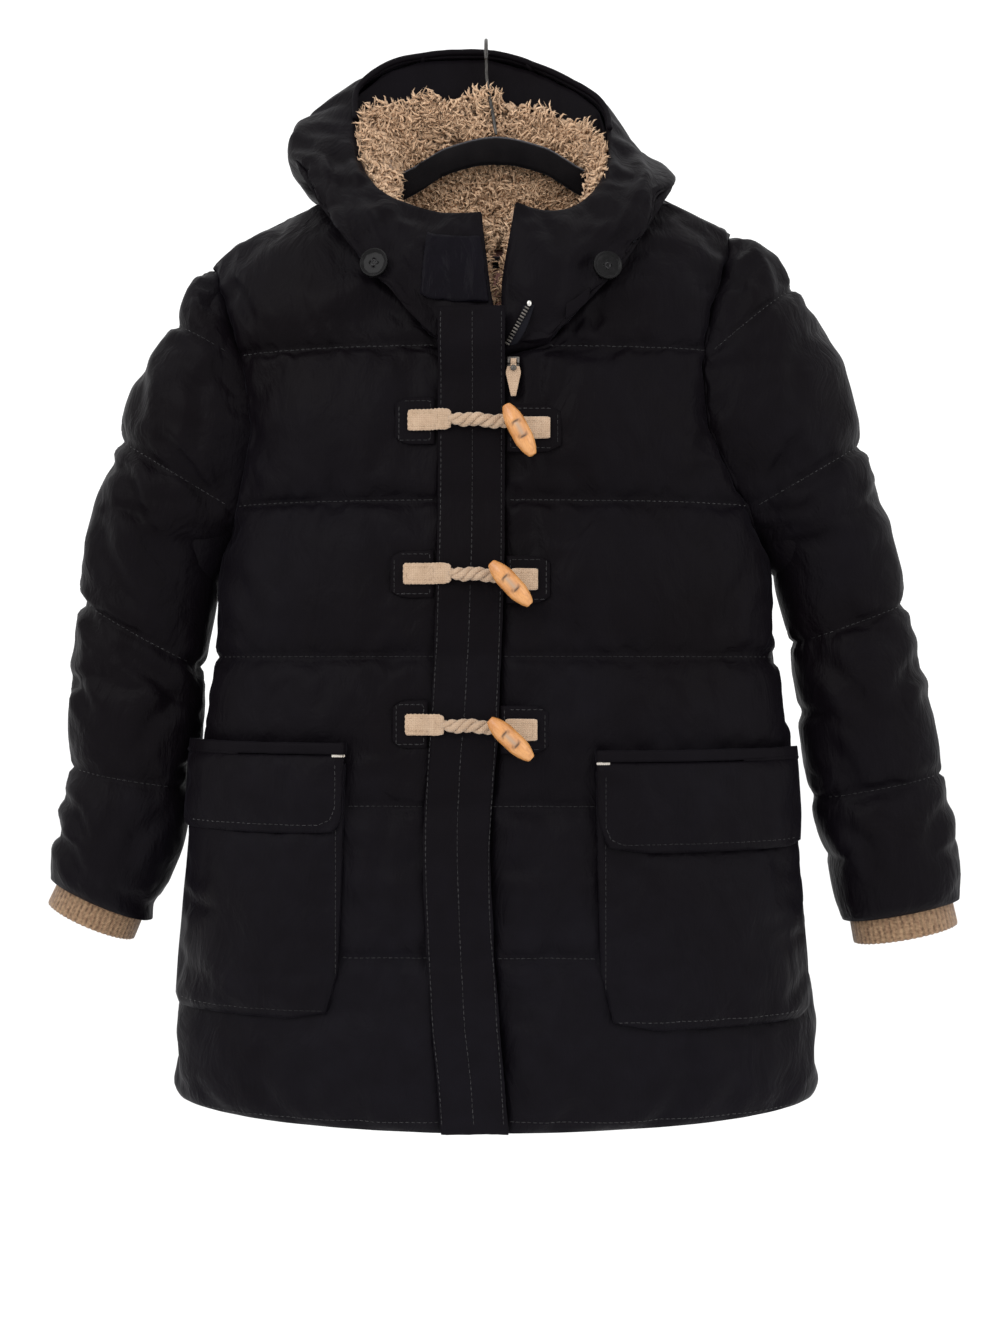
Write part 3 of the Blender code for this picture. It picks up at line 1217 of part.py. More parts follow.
def build():
    for obj in list(bpy.data.objects):
        bpy.data.objects.remove(obj, do_unlink=True)
    shell = material("navy shell cloth", (0.012, 0.013, 0.02), 0.55)
    fleece = material("cream fleece", (0.62, 0.5, 0.38), 0.95)
    rose = material("rose lining", (0.5, 0.22, 0.18), 0.6)
    knit = material("tan rib knit", (0.5, 0.33, 0.17), 0.9)
    webbing = material("cream cord", (0.7, 0.6, 0.45), 0.85)
    wood = material("orange wood", (0.62, 0.3, 0.08), 0.4)
    horn = material("dark button", (0.02, 0.018, 0.018), 0.25)
    velvet = material("black velvet", (0.006, 0.006, 0.006), 0.95)
    metal = material("dark metal", (0.12, 0.11, 0.1), 0.4, 1.0)
    steel = material("hook steel", (0.15, 0.15, 0.16), 0.35, 1.0)

    for side, tag in ((LEFT, "left"), (RIGHT, "right")):
        rows, shares, outer, inner = front_sheets(side)
        wall(f"front_{tag}", outer, inner, shell)
        make_pocket(side, tag, rows, shares, outer, shell)
        make_sleeve(side, f"sleeve_{tag}", shell)
        make_cuff(side, f"cuff_{tag}", knit)
        make_button(side, f"button_{tag}", horn)
    _, _, outer, inner = back_sheets()
    wall("back", outer, inner, shell)
    make_hood(shell)
    make_lining(fleece, shell)
    make_back_neck_lining(rose)
    make_placket(shell)
    make_zip(metal)
    make_top_tape(metal)
    make_slider_and_pull(metal, webbing)
    for number, row in enumerate(TOGGLES, 1):
        make_toggle_set(number, row, shell, webbing, wood)
    hood_patch("chin_flap", *CHIN_FLAP, (6, 8), LIE, 1.6, shell)
    wide, high = TAB_HALF
    hood_patch("button_tab", (TAB_SECTION - wide, TAB_SECTION + wide), (TAB_SHARE - high, TAB_SHARE + high),
               (4, 4), LIE, TAB_WALL, shell)
    make_hanger(velvet, steel)


build()
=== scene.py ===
"""Padded duffle coat with a fleece-lined hood, hung on a slim velvet hanger.

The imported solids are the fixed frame. Each operator below dresses one group of pieces: the padded
panels are blown up as cloth between their quilting lines, and the fleece, cord, knit, wood, zip and
sewing are made around them.
"""

import json
import math
import random

import bmesh
import bpy
import numpy as np
from mathutils import Matrix, Vector, noise
from mathutils.bvhtree import BVHTree

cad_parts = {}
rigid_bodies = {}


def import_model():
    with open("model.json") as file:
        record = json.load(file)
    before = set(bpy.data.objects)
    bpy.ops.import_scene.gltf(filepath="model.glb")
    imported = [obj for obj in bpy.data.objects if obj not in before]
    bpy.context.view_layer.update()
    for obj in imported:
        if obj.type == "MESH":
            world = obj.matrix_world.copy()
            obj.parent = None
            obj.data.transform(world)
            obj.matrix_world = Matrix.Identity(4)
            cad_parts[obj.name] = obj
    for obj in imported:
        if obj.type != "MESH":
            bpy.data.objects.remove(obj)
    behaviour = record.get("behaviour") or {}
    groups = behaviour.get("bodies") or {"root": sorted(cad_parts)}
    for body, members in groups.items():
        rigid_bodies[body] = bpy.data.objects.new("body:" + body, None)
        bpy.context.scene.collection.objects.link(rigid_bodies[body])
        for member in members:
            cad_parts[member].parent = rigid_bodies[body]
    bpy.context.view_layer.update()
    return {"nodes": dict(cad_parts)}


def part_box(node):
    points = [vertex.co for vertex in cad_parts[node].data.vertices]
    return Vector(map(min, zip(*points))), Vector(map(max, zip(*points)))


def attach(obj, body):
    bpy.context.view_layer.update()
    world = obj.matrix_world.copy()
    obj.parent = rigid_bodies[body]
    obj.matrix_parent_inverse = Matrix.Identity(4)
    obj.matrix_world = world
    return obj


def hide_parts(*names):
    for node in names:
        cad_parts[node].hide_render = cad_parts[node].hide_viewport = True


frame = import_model()

bl_info = {
    "name": "Padded Duffle Coat",
    "version": (1, 0, 0),
    "blender": (4, 5, 0),
    "location": "3D View > Sidebar > Coat",
    "description": "Dresses the solids of a padded duffle coat with cloth, fleece, cord, wood and sewing",
    "category": "Object",
}

MM = 0.001
COAT, PULL = "coat", "zip_pull"
LEFT, RIGHT = "left", "right"
CENTRE_X = 7.5 * MM
CLOTH_EDGE = 0.12  # how far a sheet looks outwards, on average, before it counts as a panel's outer sheet
LINED_HALF, LINED_TOP = 150 * MM, -265 * MM  # how far the pink lining reaches to the sides and up
SHEET_EDGE = 0.8  # an edge sharper than this, in radians, ends a sheet

# quilting lines of the body, as heights, and of each sleeve, as (outer x, outer z, inner x, inner z)
BODY_LINES = (-242.0, -351.0, -460.0, -564.0, -669.0)
SLEEVE_LINES = {
    LEFT: (
        (-235, -213, -184, -242), (-277, -296, -186, -351),
        (-306, -414, -208, -470), (-315, -540, -217, -558),
    ),
    RIGHT: (
        (233, -183, 162, -242), (283, -300, 196, -351),
        (317, -418, 224, -452), (345, -544, 238, -566),
    ),
}
SLEEVE_ENDS = {LEFT: (-331, -621, -246, -659), RIGHT: (360, -638, 261.5, -658)}
# the hem's stitching, as a height, and how far across the body its rows of stitches run, in metres
HEM_ROW = -0.781
ROW_SPAN = (-0.235, 0.25)
# how far in front of or behind the coat a look at its surface starts, in metres
LOOK_FROM = 0.3
# the middle line of each sleeve, as (x, z) points in millimetres, from the shoulder down to the cuff
SLEEVE_MIDDLES = {
    LEFT: ((-212, -171), (-212, -228), (-231, -324), (-257, -442), (-266, -549), (-288, -640)),
    RIGHT: ((188, -140), (198, -213), (240, -326), (270, -435), (291, -555), (311, -648)),
}

# creases seen from the front, each as (x, z) points, with depth and half width, all in millimetres
CREASES = {
    "hood_side_left": (
        (((-112, -78), (-101, -128), (-90, -160), (-80, -178)), 2.6, 5.0),
        (((-72, -146), (-66, -174), (-56, -196)), 1.8, 4.5),
        (((-41, -221), (-22, -240), (-4, -256)), 2.0, 4.5),
        (((-96, -150), (-66, -190), (-40, -208)), 1.6, 6.0),
        (((-128, -96), (-120, -120), (-112, -138)), 1.8, 5.0),
        (((-88, -70), (-84, -100), (-74, -124)), 1.4, 5.0),
    ),
    "hood_side_right": (
        (((132, -110), (112, -150), (92, -182)), 2.2, 5.5),
        (((100, -84), (104, -112), (92, -140)), 1.6, 5.0),
        (((96, -160), (74, -186), (64, -206)), 1.7, 5.0),
        (((118, -84), (126, -108), (120, -130)), 1.4, 5.0),
        (((52, -160), (50, -190), (44, -222)), 1.1, 5.0),
    ),
    "hood_center": (
        (((-60, -22), (-30, -12), (4, -12)), 1.2, 5.0),
        (((20, -8), (52, -14), (80, -34)), 1.2, 5.0),
    ),
    "sleeve_left": (
        (((-236, -300), (-219, -318), (-203, -340), (-196, -352)), 3.4, 4.5),
        (((-262, -318), (-252, -352), (-238, -382), (-222, -402)), 3.0, 6.0),
        (((-282, -352), (-276, -386), (-262, -412), (-244, -434)), 2.4, 6.5),
        (((-304, -412), (-290, -432), (-279, -447)), 2.8, 4.5),
        (((-268, -452), (-240, -470), (-222, -496)), 1.8, 6.0),
        (((-256, -236), (-250, -262), (-252, -290)), 1.6, 6.0),
        (((-316, -470), (-296, -484), (-286, -504)), 2.2, 5.0),
        (((-318, -560), (-298, -574), (-290, -596)), 2.6, 5.0),
        (((-320, -590), (-304, -600), (-292, -622)), 2.2, 5.0),
        (((-224, -492), (-240, -506), (-252, -530)), 1.8, 5.0),
        (((-236, -576), (-252, -590), (-262, -612)), 1.6, 5.0),
        (((-206, -262), (-202, -288), (-208, -318)), 1.8, 5.0),
    ),
    "sleeve_right": (
        (((226, -300), (212, -320), (202, -346)), 2.4, 5.0),
        (((252, -312), (238, -342), (222, -368)), 2.0, 6.0),
        (((300, -340), (276, -356), (244, -384)), 1.8, 7.0),
        (((250, -420), (276, -440), (300, -448)), 1.8, 6.0),
        (((240, -458), (262, -480), (276, -506)), 1.8, 6.0),
        (((330, -452), (306, -470), (292, -496)), 1.7, 6.0),
        (((248, -520), (262, -538), (268, -556)), 1.5, 5.0),
        (((352, -560), (330, -576), (318, -600)), 1.7, 6.0),
        (((258, -580), (276, -596), (284, -622)), 1.6, 5.0),
        (((230, -226), (220, -252), (222, -286)), 1.4, 6.0),
        (((196, -168), (182, -196), (176, -228)), 1.6, 5.0),
    ),
    "front_left": (
        (((-190, -178), (-176, -200), (-164, -226)), 1.9, 5.0),
        (((-180, -250), (-168, -290), (-170, -330)), 1.2, 7.0),
        (((-150, -360), (-146, -390), (-150, -430)), 0.9, 7.0),
        (((-60, -560), (-74, -600), (-72, -650)), 1.2, 6.0),
        (((-188, -392), (-170, -412), (-160, -440)), 1.6, 6.0),
    ),
    "front_right": (
        (((30, -236), (52, -246), (92, -250)), 1.6, 4.5),
        (((64, -224), (58, -256), (50, -290)), 2.0, 5.0),
        (((80, -210), (76, -240), (66, -262)), 1.4, 4.5),
        (((166, -240), (156, -280), (158, -330)), 1.2, 7.0),
        (((192, -392), (176, -418), (168, -448)), 1.6, 6.0),
        (((42, -570), (56, -610), (54, -660)), 1.1, 6.0),
    ),
}


# ------------------------------------------------------------------ sizes and colours


def length(name, description, default):
    return bpy.props.FloatProperty(
        name=name, description=description, default=default,
        min=0.0, subtype="DISTANCE", unit="LENGTH", precision=4)


def amount(name, description, default):
    return bpy.props.FloatProperty(name=name, description=description, default=default, min=0.0)


def share(name, description, default):
    return bpy.props.FloatProperty(
        name=name, description=description, default=default, min=0.0, max=1.0, subtype="FACTOR")


def count(name, description, default):
    return bpy.props.IntProperty(name=name, description=description, default=default, min=1)


def colour(name, description, default):
    return bpy.props.FloatVectorProperty(
        name=name, description=description, default=default, size=3, min=0.0, max=1.0, subtype="COLOR")


class ShellSettings(bpy.types.PropertyGroup):
    """The padded shell panels"""

    cell: length("Grid", "Spacing of the cloth's points while it is blown up", 0.0066)
    pressure: amount("Pressure", "How hard the padding pushes the cloth out", 6.0)
    growth: share("Spare cloth", "How much larger the cloth is cut than the space between its seams", 0.06)
    reach: length("Reach", "The furthest that the padding may move the cloth", 0.0085)
    pucker: length("Pucker depth", "Depth of the gathers beside each line of quilting", 0.0028)
    navy: colour("Navy", "Colour of the shell", (0.0019, 0.0011, 0.0017))
    blue: colour("Blue", "Colour of the shell where it catches the light", (0.0042, 0.0036, 0.0054))
    binding: length("Binding", "Half thickness of the rolled edge of the hood", 0.0024)
    rose: colour("Rose", "Colour of the lining", (0.28, 0.12, 0.095))


class FleeceSettings(bpy.types.PropertyGroup):
    """The pile inside the hood"""

    locks: count("Locks", "Number of curled locks of pile", 10400)
    long: length("Long lock", "Length of a lock at the back of the hood", 0.0125)
    short: length("Short lock", "Length of a lock near the neck", 0.0090)
    width: length("Width", "Width of a lock at its root", 0.0037)
    # the root colour is painted shade: the dark deep down in the pile, where little light reaches
    root: colour("Root", "Colour at the root of the pile", (0.22, 0.135, 0.085))
    tip: colour("Tip", "Colour at the tip of the pile", (0.74, 0.51, 0.33))


class TrimSettings(bpy.types.PropertyGroup):
    """Cord, wood, buttons, zip and knit"""

    cream: colour("Cream", "Colour of the cotton cord and tape", (0.50, 0.36, 0.25))
    wood: colour("Wood", "Colour of the toggles", (0.47, 0.195, 0.055))
    knit: colour("Knit", "Colour of the ribbed cuffs", (0.22, 0.125, 0.072))
    ribs: count("Ribs", "Number of ribs round a cuff", 84)
    rib_depth: length("Rib depth", "Height of a rib of the knit", 0.0007)


class SewingSettings(bpy.types.PropertyGroup):
    """Topstitching"""

    stitch: length("Stitch", "Length of one stitch", 0.0030)
    pitch: length("Pitch", "Distance from one stitch to the next", 0.0040)
    thread: length("Thread", "Thickness of the thread", 0.00055)


class StageSettings(bpy.types.PropertyGroup):
    """Camera, floor and light"""

    eye: bpy.props.FloatVectorProperty(
        name="Eye", description="Place of the camera", default=(0.010, -1.100, -0.467), size=3,
        subtype="TRANSLATION", unit="LENGTH")
    floor: bpy.props.FloatProperty(
        name="Floor", description="Height of the floor", default=-1.25, subtype="DISTANCE", unit="LENGTH")
    key: amount("Key light", "Power of the main light in watts", 24.0)
    fill: amount("Fill light", "Power of the second light in watts", 10.0)
    pale: colour("Pale", "Colour of the floor", (0.92, 0.92, 0.92))


# ------------------------------------------------------------------ materials


class Wire:
    """One output of a material's nodes; sums and products of wires add the nodes that work them out."""

    def __init__(self, recipe, socket):
        self.recipe = recipe
        self.socket = socket

    def maths(self, operation, *others):
        values = dict(enumerate((self,) + others))
        return self.recipe.node("ShaderNodeMath", {"operation": operation}, values)

    def __add__(self, other):
        return self.maths("ADD", other)

    __radd__ = __add__

    def __mul__(self, other):
        return self.maths("MULTIPLY", other)

    __rmul__ = __mul__

    def __sub__(self, other):
        return self.maths("SUBTRACT", other)

    def __rsub__(self, other):
        return self * -1.0 + other

    def __pow__(self, other):
        return self.maths("POWER", other)

    def __truediv__(self, other):
        return self.maths("DIVIDE", other)

    def least(self, other):
        return self.maths("MINIMUM", other)


class Recipe:
    """A material as it is put together: a Principled shader and the nodes that feed it."""

    def __init__(self, name, **constants):
        self.material = bpy.data.materials.new(name)
        self.material.use_nodes = True
        self.tree = self.material.node_tree
        self.shader = self.tree.nodes["Principled BSDF"]
        for socket, value in constants.items():
            self.shader.inputs[socket.replace("_", " ")].default_value = value

    def node(self, kind, settings=None, inputs=None, out=0):
        made = self.tree.nodes.new(kind)
        for key, value in (settings or {}).items():
            if key == "stops":
                ramp = made.color_ramp.elements
                while len(ramp) < len(value):
                    ramp.new(0.5)
                for stop, (place, shade) in zip(ramp, value):
                    stop.position = place
                    stop.color = (*shade, 1.0) if len(shade) == 3 else shade
            else:
                setattr(made, key, value)
        for key, value in (inputs or {}).items():
            if isinstance(value, Wire):
                self.tree.links.new(value.socket, made.inputs[key])
            else:
                made.inputs[key].default_value = value
        return Wire(self, made.outputs[out])

    def feed(self, socket, wire):
        self.tree.links.new(wire.socket, self.shader.inputs[socket])

    def place(self, scale=(1.0, 1.0, 1.0), turn=(0.0, 0.0, 0.0)):
        where = self.node("ShaderNodeTexCoord", out="Object")
        return self.node("ShaderNodeMapping", {"vector_type": "POINT"},
                         {"Vector": where, "Scale": scale, "Rotation": turn})

    def attribute(self, name, out="Fac"):
        return self.node("ShaderNodeAttribute", {"attribute_name": name}, out=out)

    def grain(self, where, scale, detail=3.0, rough=0.55, twist=0.0):
        return self.node("ShaderNodeTexNoise", {}, {
            "Vector": where, "Scale": scale, "Detail": detail, "Roughness": rough, "Distortion": twist})

    def bands(self, where, scale, direction, profile="SIN", wobble=0.0):
        return self.node(
            "ShaderNodeTexWave",
            {"wave_type": "BANDS", "bands_direction": direction, "wave_profile": profile},
            {"Vector": where, "Scale": scale, "Distortion": wobble}, out="Fac")

    def blend(self, factor, first, second, kind="MIX"):
        def value(shade):
            return (*shade, 1.0) if isinstance(shade, tuple) and len(shade) == 3 else shade
        return self.node("ShaderNodeMix", {"data_type": "RGBA", "blend_type": kind},
                         {0: factor, 6: value(first), 7: value(second)}, out=2)

    def spread(self, wire, low, high, new_low=0.0, new_high=1.0):
        return self.node("ShaderNodeMapRange", {"clamp": True}, {
            "Value": wire, "From Min": low, "From Max": high, "To Min": new_low, "To Max": new_high})

    def relief(self, height, distance, strength=1.0, under=None):
        inputs = {"Height": height, "Distance": distance, "Strength": strength}
        if under is not None:
            inputs["Normal"] = under
        return self.node("ShaderNodeBump", {}, inputs)


def shell_cloth(name, navy, blue, rough=0.50, crinkle=1.0):
    """Closely woven polyester: dark, with painted bluish sheen in patches and towards the bottom, and fine
    crinkles.
    """
    recipe = Recipe(name, Sheen_Weight=0.02, Sheen_Roughness=0.35, Sheen_Tint=(0.6, 0.58, 0.72, 1.0))
    recipe.shader.inputs["Specular IOR Level"].default_value = 0.045
    where = recipe.place()
    patches = recipe.grain(where, 9.0, 3.0)
    dye = recipe.grain(where, 60.0, 4.0)
    height = recipe.node("ShaderNodeSeparateXYZ", {}, {"Vector": where}, out="Z")
    # painted sheen: from -0.42 m down to -0.80 m the shell turns more and more towards its lit blue
    low = recipe.spread(height, -0.80, -0.42, 0.75, 0.0)
    tone = recipe.spread(patches, 0.35, 0.68, 0.0, 0.6) + low
    weave = (recipe.bands(where, 300.0, "X") + recipe.bands(where, 300.0, "Z")) * 0.5
    # painted sheen: the navy is blended towards the lit blue in random patches and low on the coat
    base = recipe.blend(tone.least(1.0), navy, blue)
    deep = tuple(c * 0.6 for c in navy)
    base = recipe.blend(recipe.spread(dye, 0.3, 0.7, 0.0, 0.35), base, deep)
    # painted highlight: the raised threads of the weave, which is also the bump below, are coloured lighter
    base = recipe.blend(weave * 0.12, base, (0.011, 0.0085, 0.012))
    recipe.feed("Base Color", base)
    recipe.feed("Roughness", recipe.spread(patches, 0.3, 0.7, rough - 0.05, rough + 0.07))
    wrinkles = recipe.grain(recipe.place((1.0, 1.0, 0.55)), 42.0, 4.0, 0.6, 0.6)
    first = recipe.relief(wrinkles, 0.0032, crinkle)
    crumple = recipe.relief(recipe.grain(where, 150.0, 3.0), 0.0003, 0.5, first)
    recipe.feed("Normal", recipe.relief(weave, 0.00008, 0.6, crumple))
    return recipe.material


def rose_cloth(name, rose):
    """Smooth woven lining."""
    recipe = Recipe(name, Sheen_Weight=0.2)
    recipe.shader.inputs["Specular IOR Level"].default_value = 0.35
    where = recipe.place()
    patches = recipe.grain(where, 14.0)
    weave = (recipe.bands(where, 360.0, "X") + recipe.bands(where, 360.0, "Z")) * 0.5
    dark = tuple(c * 0.62 for c in rose)
    recipe.feed("Base Color", recipe.blend(recipe.spread(patches, 0.3, 0.7), rose, dark))
    recipe.feed("Roughness", recipe.spread(patches, 0.3, 0.7, 0.42, 0.58))
    soft = recipe.relief(recipe.grain(where, 60.0, 3.0, 0.5, 0.5), 0.0012, 0.8)
    recipe.feed("Normal", recipe.relief(weave, 0.00006, 0.5, soft))
    return recipe.material


def fleece(name, root, tip):
    """Curled pile: darker at the root with painted shade, with fine hairs along each lock."""
    recipe = Recipe(name, Sheen_Weight=0.12, Sheen_Roughness=0.6, Sheen_Tint=(1.0, 0.85, 0.75, 1.0))
    recipe.shader.inputs["Specular IOR Level"].default_value = 0.2
    along = recipe.attribute("along")
    tone = recipe.attribute("tone")
    where = recipe.place()
    hairs = recipe.grain(where, 900.0, 2.0)
    # painted shade: each lock runs from the dark root colour up to the lit tip colour
    base = recipe.blend(recipe.spread(along, 0.0, 0.75), root, tip)
    deep = tuple(c * f for c, f in zip(tip, (0.66, 0.60, 0.55)))
    base = recipe.blend(tone * 0.55, base, deep)
    # the fine hairs are flecked with the root's painted shade colour
    base = recipe.blend(recipe.spread(hairs, 0.35, 0.7, 0.0, 0.3), base, root)
    recipe.feed("Base Color", base)
    recipe.feed("Roughness", recipe.spread(hairs, 0.3, 0.7, 0.72, 0.9))
    recipe.feed("Normal", recipe.relief(hairs, 0.0003, 0.6))
    return recipe.material


def fleece_ground(name, root, tip):
    """The knitted ground that the pile grows from, with short curls, in the painted shade of the pile's
    roots.
    """
    recipe = Recipe(name, Sheen_Weight=0.3)
    recipe.shader.inputs["Specular IOR Level"].default_value = 0.15
    where = recipe.place()
    curls = recipe.node(
        "ShaderNodeTexVoronoi", {"feature": "F1"}, {"Vector": where, "Scale": 260.0}, out="Distance")
    hairs = recipe.grain(where, 320.0, 4.0, 0.6, 1.0)
    # painted shade: the ground, deep under the pile, runs from the dark root colour a third of the way to
    # the tip
    mid = tuple((a * 2 + b) / 3 for a, b in zip(root, tip))
    recipe.feed("Base Color", recipe.blend(recipe.spread(hairs, 0.3, 0.7), root, mid))
    recipe.feed("Roughness", recipe.spread(hairs, 0.3, 0.7, 0.8, 0.95))
    recipe.feed("Normal", recipe.relief(curls + hairs, 0.0014, 0.9))
    return recipe.material


def cotton(name, cream, pitch=1500.0):
    """Cotton tape and cord: warm off-white with soft fibres."""
    recipe = Recipe(name, Sheen_Weight=0.25)
    recipe.shader.inputs["Specular IOR Level"].default_value = 0.2
    where = recipe.place()
    fibres = recipe.grain(recipe.place((1.0, 1.0, 2.2)), 420.0, 3.0, 0.6)
    stain = recipe.grain(where, 130.0, 2.0)
    across, down = (recipe.bands(where, pitch / 6.0, way, wobble=0.6) for way in "XZ")
    weave = (across + down) * 0.5
    dark = tuple(c * f for c, f in zip(cream, (0.62, 0.56, 0.5)))
    base = recipe.blend(recipe.spread(stain, 0.3, 0.7, 0.0, 0.45), cream, dark)
    # painted shade: the low parts of the weave, which is also the bump below, are coloured darker
    base = recipe.blend(recipe.spread(weave, 0.2, 0.8, 0.4, 0.0), base, dark)
    recipe.feed("Base Color", base)
    recipe.feed("Roughness", recipe.spread(fibres, 0.3, 0.7, 0.7, 0.9))
    soft = recipe.relief(fibres, 0.0004, 0.8)
    recipe.feed("Normal", recipe.relief(weave, 0.0005, 0.8, soft))
    return recipe.material


def rib_knit(name, knit):
    """Stocking-stitch ribs; the ribs themselves are in the mesh, the stitches here, with painted shade
    between the ribs and between the rows.
    """
    recipe = Recipe(name, Sheen_Weight=0.3)
    recipe.shader.inputs["Specular IOR Level"].default_value = 0.15
    along = recipe.attribute("along")
    ridge = recipe.attribute("ridge")
    where = recipe.place()
    fibres = recipe.grain(where, 500.0, 3.0)
    rows = recipe.node("ShaderNodeMath", {"operation": "PINGPONG"}, {0: along * 26.0 + ridge * 0.9, 1: 0.5})
    # painted shade: the valleys between the ribs and the gaps between the rows of stitches, low in the bump
    # too, are darkened
    dark = tuple(c * f for c, f in zip(knit, (0.35, 0.32, 0.3)))
    base = recipe.blend(recipe.spread(ridge, 0.15, 0.75), dark, knit)
    base = recipe.blend(recipe.spread(rows, 0.0, 0.3, 0.35, 0.0), base, dark)
    base = recipe.blend(recipe.spread(fibres, 0.35, 0.7, 0.0, 0.35), base, (0.62, 0.43, 0.25))
    recipe.feed("Base Color", base)
    recipe.feed("Roughness", recipe.spread(fibres, 0.3, 0.7, 0.75, 0.92))
    recipe.feed("Normal", recipe.relief(rows + fibres * 0.4, 0.0006, 0.8))
    return recipe.material


def turned_wood(name, wood):
    """Lacquered light wood with a straight grain."""
    recipe = Recipe(name, Coat_Weight=0.35, Coat_Roughness=0.22)
    recipe.shader.inputs["Specular IOR Level"].default_value = 0.45
    local = recipe.attribute("local", "Vector")
    stretched = recipe.node("ShaderNodeMapping", {}, {"Vector": local, "Scale": (1.0, 1.0, 0.10)})
    streaks = recipe.grain(stretched, 900.0, 3.0, 0.6, 0.4)
    shade = recipe.grain(local, 90.0, 2.0)
    pale = tuple(min(c * f, 1.0) for c, f in zip(wood, (1.28, 1.45, 1.7)))
    dark = tuple(c * f for c, f in zip(wood, (0.62, 0.5, 0.4)))
    base = recipe.blend(recipe.spread(shade, 0.35, 0.65), wood, pale)
    base = recipe.blend(recipe.spread(streaks, 0.45, 0.75, 0.0, 0.55), base, dark)
    base = recipe.blend(recipe.attribute("slot"), base, (0.36, 0.24, 0.155))
    # painted shade: near black in the crescents of the two drilled slots
    base = recipe.blend(recipe.attribute("burnt"), base, (0.03, 0.014, 0.006))
    recipe.feed("Base Color", base)
    recipe.feed("Roughness", recipe.spread(streaks, 0.3, 0.7, 0.30, 0.44))
    recipe.feed("Normal", recipe.relief(streaks, 0.0001, 0.4))
    return recipe.material


def hard_finish(name, low, high, rough, metallic=0.0, scale=180.0, depth=0.00006, **constants):
    """Buttons, zip, hook: a hard surface with small wear marks."""
    recipe = Recipe(name, Metallic=metallic, **constants)
    where = recipe.place()
    wear = recipe.grain(where, scale, 5.0, 0.65)
    recipe.feed("Base Color", recipe.blend(recipe.spread(wear, 0.35, 0.7), low, high))
    recipe.feed("Roughness", recipe.spread(wear, 0.3, 0.7, rough - 0.08, rough + 0.1))
    recipe.feed("Normal", recipe.relief(wear, depth, 0.5))
    return recipe.material


def velvet(name):
    """Flocked black velvet."""
    recipe = Recipe(name, Sheen_Weight=0.35, Sheen_Roughness=0.3, Sheen_Tint=(0.5, 0.5, 0.55, 1.0))
    recipe.shader.inputs["Specular IOR Level"].default_value = 0.05
    where = recipe.place()
    nap = recipe.grain(where, 700.0, 2.0)
    worn = recipe.grain(where, 25.0, 3.0)
    base = recipe.blend(recipe.spread(worn, 0.35, 0.7), (0.0035, 0.003, 0.0035), (0.007, 0.006, 0.0065))
    recipe.feed("Base Color", base)
    recipe.feed("Roughness", recipe.spread(nap, 0.3, 0.7, 0.85, 0.98))
    recipe.feed("Normal", recipe.relief(nap, 0.0003, 0.8))
    return recipe.material


def matte_floor(name, pale):
    """Pale painted floor."""
    recipe = Recipe(name)
    where = recipe.place()
    mottle = recipe.grain(where, 3.0)
    near = tuple(c * 0.985 for c in pale)
    recipe.feed("Base Color", recipe.blend(mottle, pale, near))
    recipe.feed("Roughness", recipe.spread(mottle, 0.3, 0.7, 0.8, 0.9))
    return recipe.material


MADE = {}


def finish_of(name):
    """The material of that name, made when it is first asked for."""
    if name not in MADE:
        scene = bpy.context.scene
        shell, pile, trim = scene.coat_shell, scene.coat_fleece, scene.coat_trim
        navy, blue = tuple(shell.navy), tuple(shell.blue)
        root, tip = tuple(pile.root), tuple(pile.tip)
        # name: (maker, what it is given after the name, what is set on the shader)
        makers = {
            "navy_shell": (shell_cloth, (navy, blue), {}),
            "navy_flat": (shell_cloth, (navy, blue, 0.58, 0.5), {}),
            "navy_shiny": (shell_cloth, ((0.0018, 0.0013, 0.0026), (0.0036, 0.0030, 0.0060), 0.40, 1.2),
                           {}),
            "navy_thread": (cotton, ((0.0055, 0.0046, 0.0062),), {}),
            "white_thread": (cotton, ((0.62, 0.58, 0.53),), {}),
            "rose_lining": (rose_cloth, (tuple(shell.rose),), {}),
            "cream_fleece": (fleece, (root, tip), {}),
            "fleece_ground": (fleece_ground, (root, tip), {}),
            "cream_cotton": (cotton, (tuple(trim.cream),), {}),
            "tan_knit": (rib_knit, (tuple(trim.knit),), {}),
            "orange_wood": (turned_wood, (tuple(trim.wood),), {}),
            "dark_button": (hard_finish, ((0.0018, 0.0016, 0.0018), (0.0045, 0.004, 0.0045), 0.24),
                            {"Specular_IOR_Level": 0.12}),
            "dark_metal": (hard_finish, ((0.06, 0.055, 0.05), (0.16, 0.145, 0.13), 0.40, 0.9), {}),
            "pale_metal": (hard_finish, ((0.55, 0.53, 0.50), (0.75, 0.73, 0.70), 0.28, 1.0), {}),
            "hook_steel": (hard_finish, ((0.030, 0.028, 0.027), (0.10, 0.095, 0.09), 0.36, 0.9), {}),
            "zip_tape": (shell_cloth, ((0.006, 0.006, 0.008), (0.012, 0.012, 0.016), 0.8, 0.2), {}),
            "black_velvet": (velvet, (), {}),
            "loop_tape": (shell_cloth, ((0.004, 0.004, 0.005), (0.009, 0.009, 0.01), 0.7, 0.3), {}),
        }
        maker, values, constants = makers[name]
        MADE[name] = maker(name, *values, **constants)
    return MADE[name]


# ------------------------------------------------------------------ mesh helpers


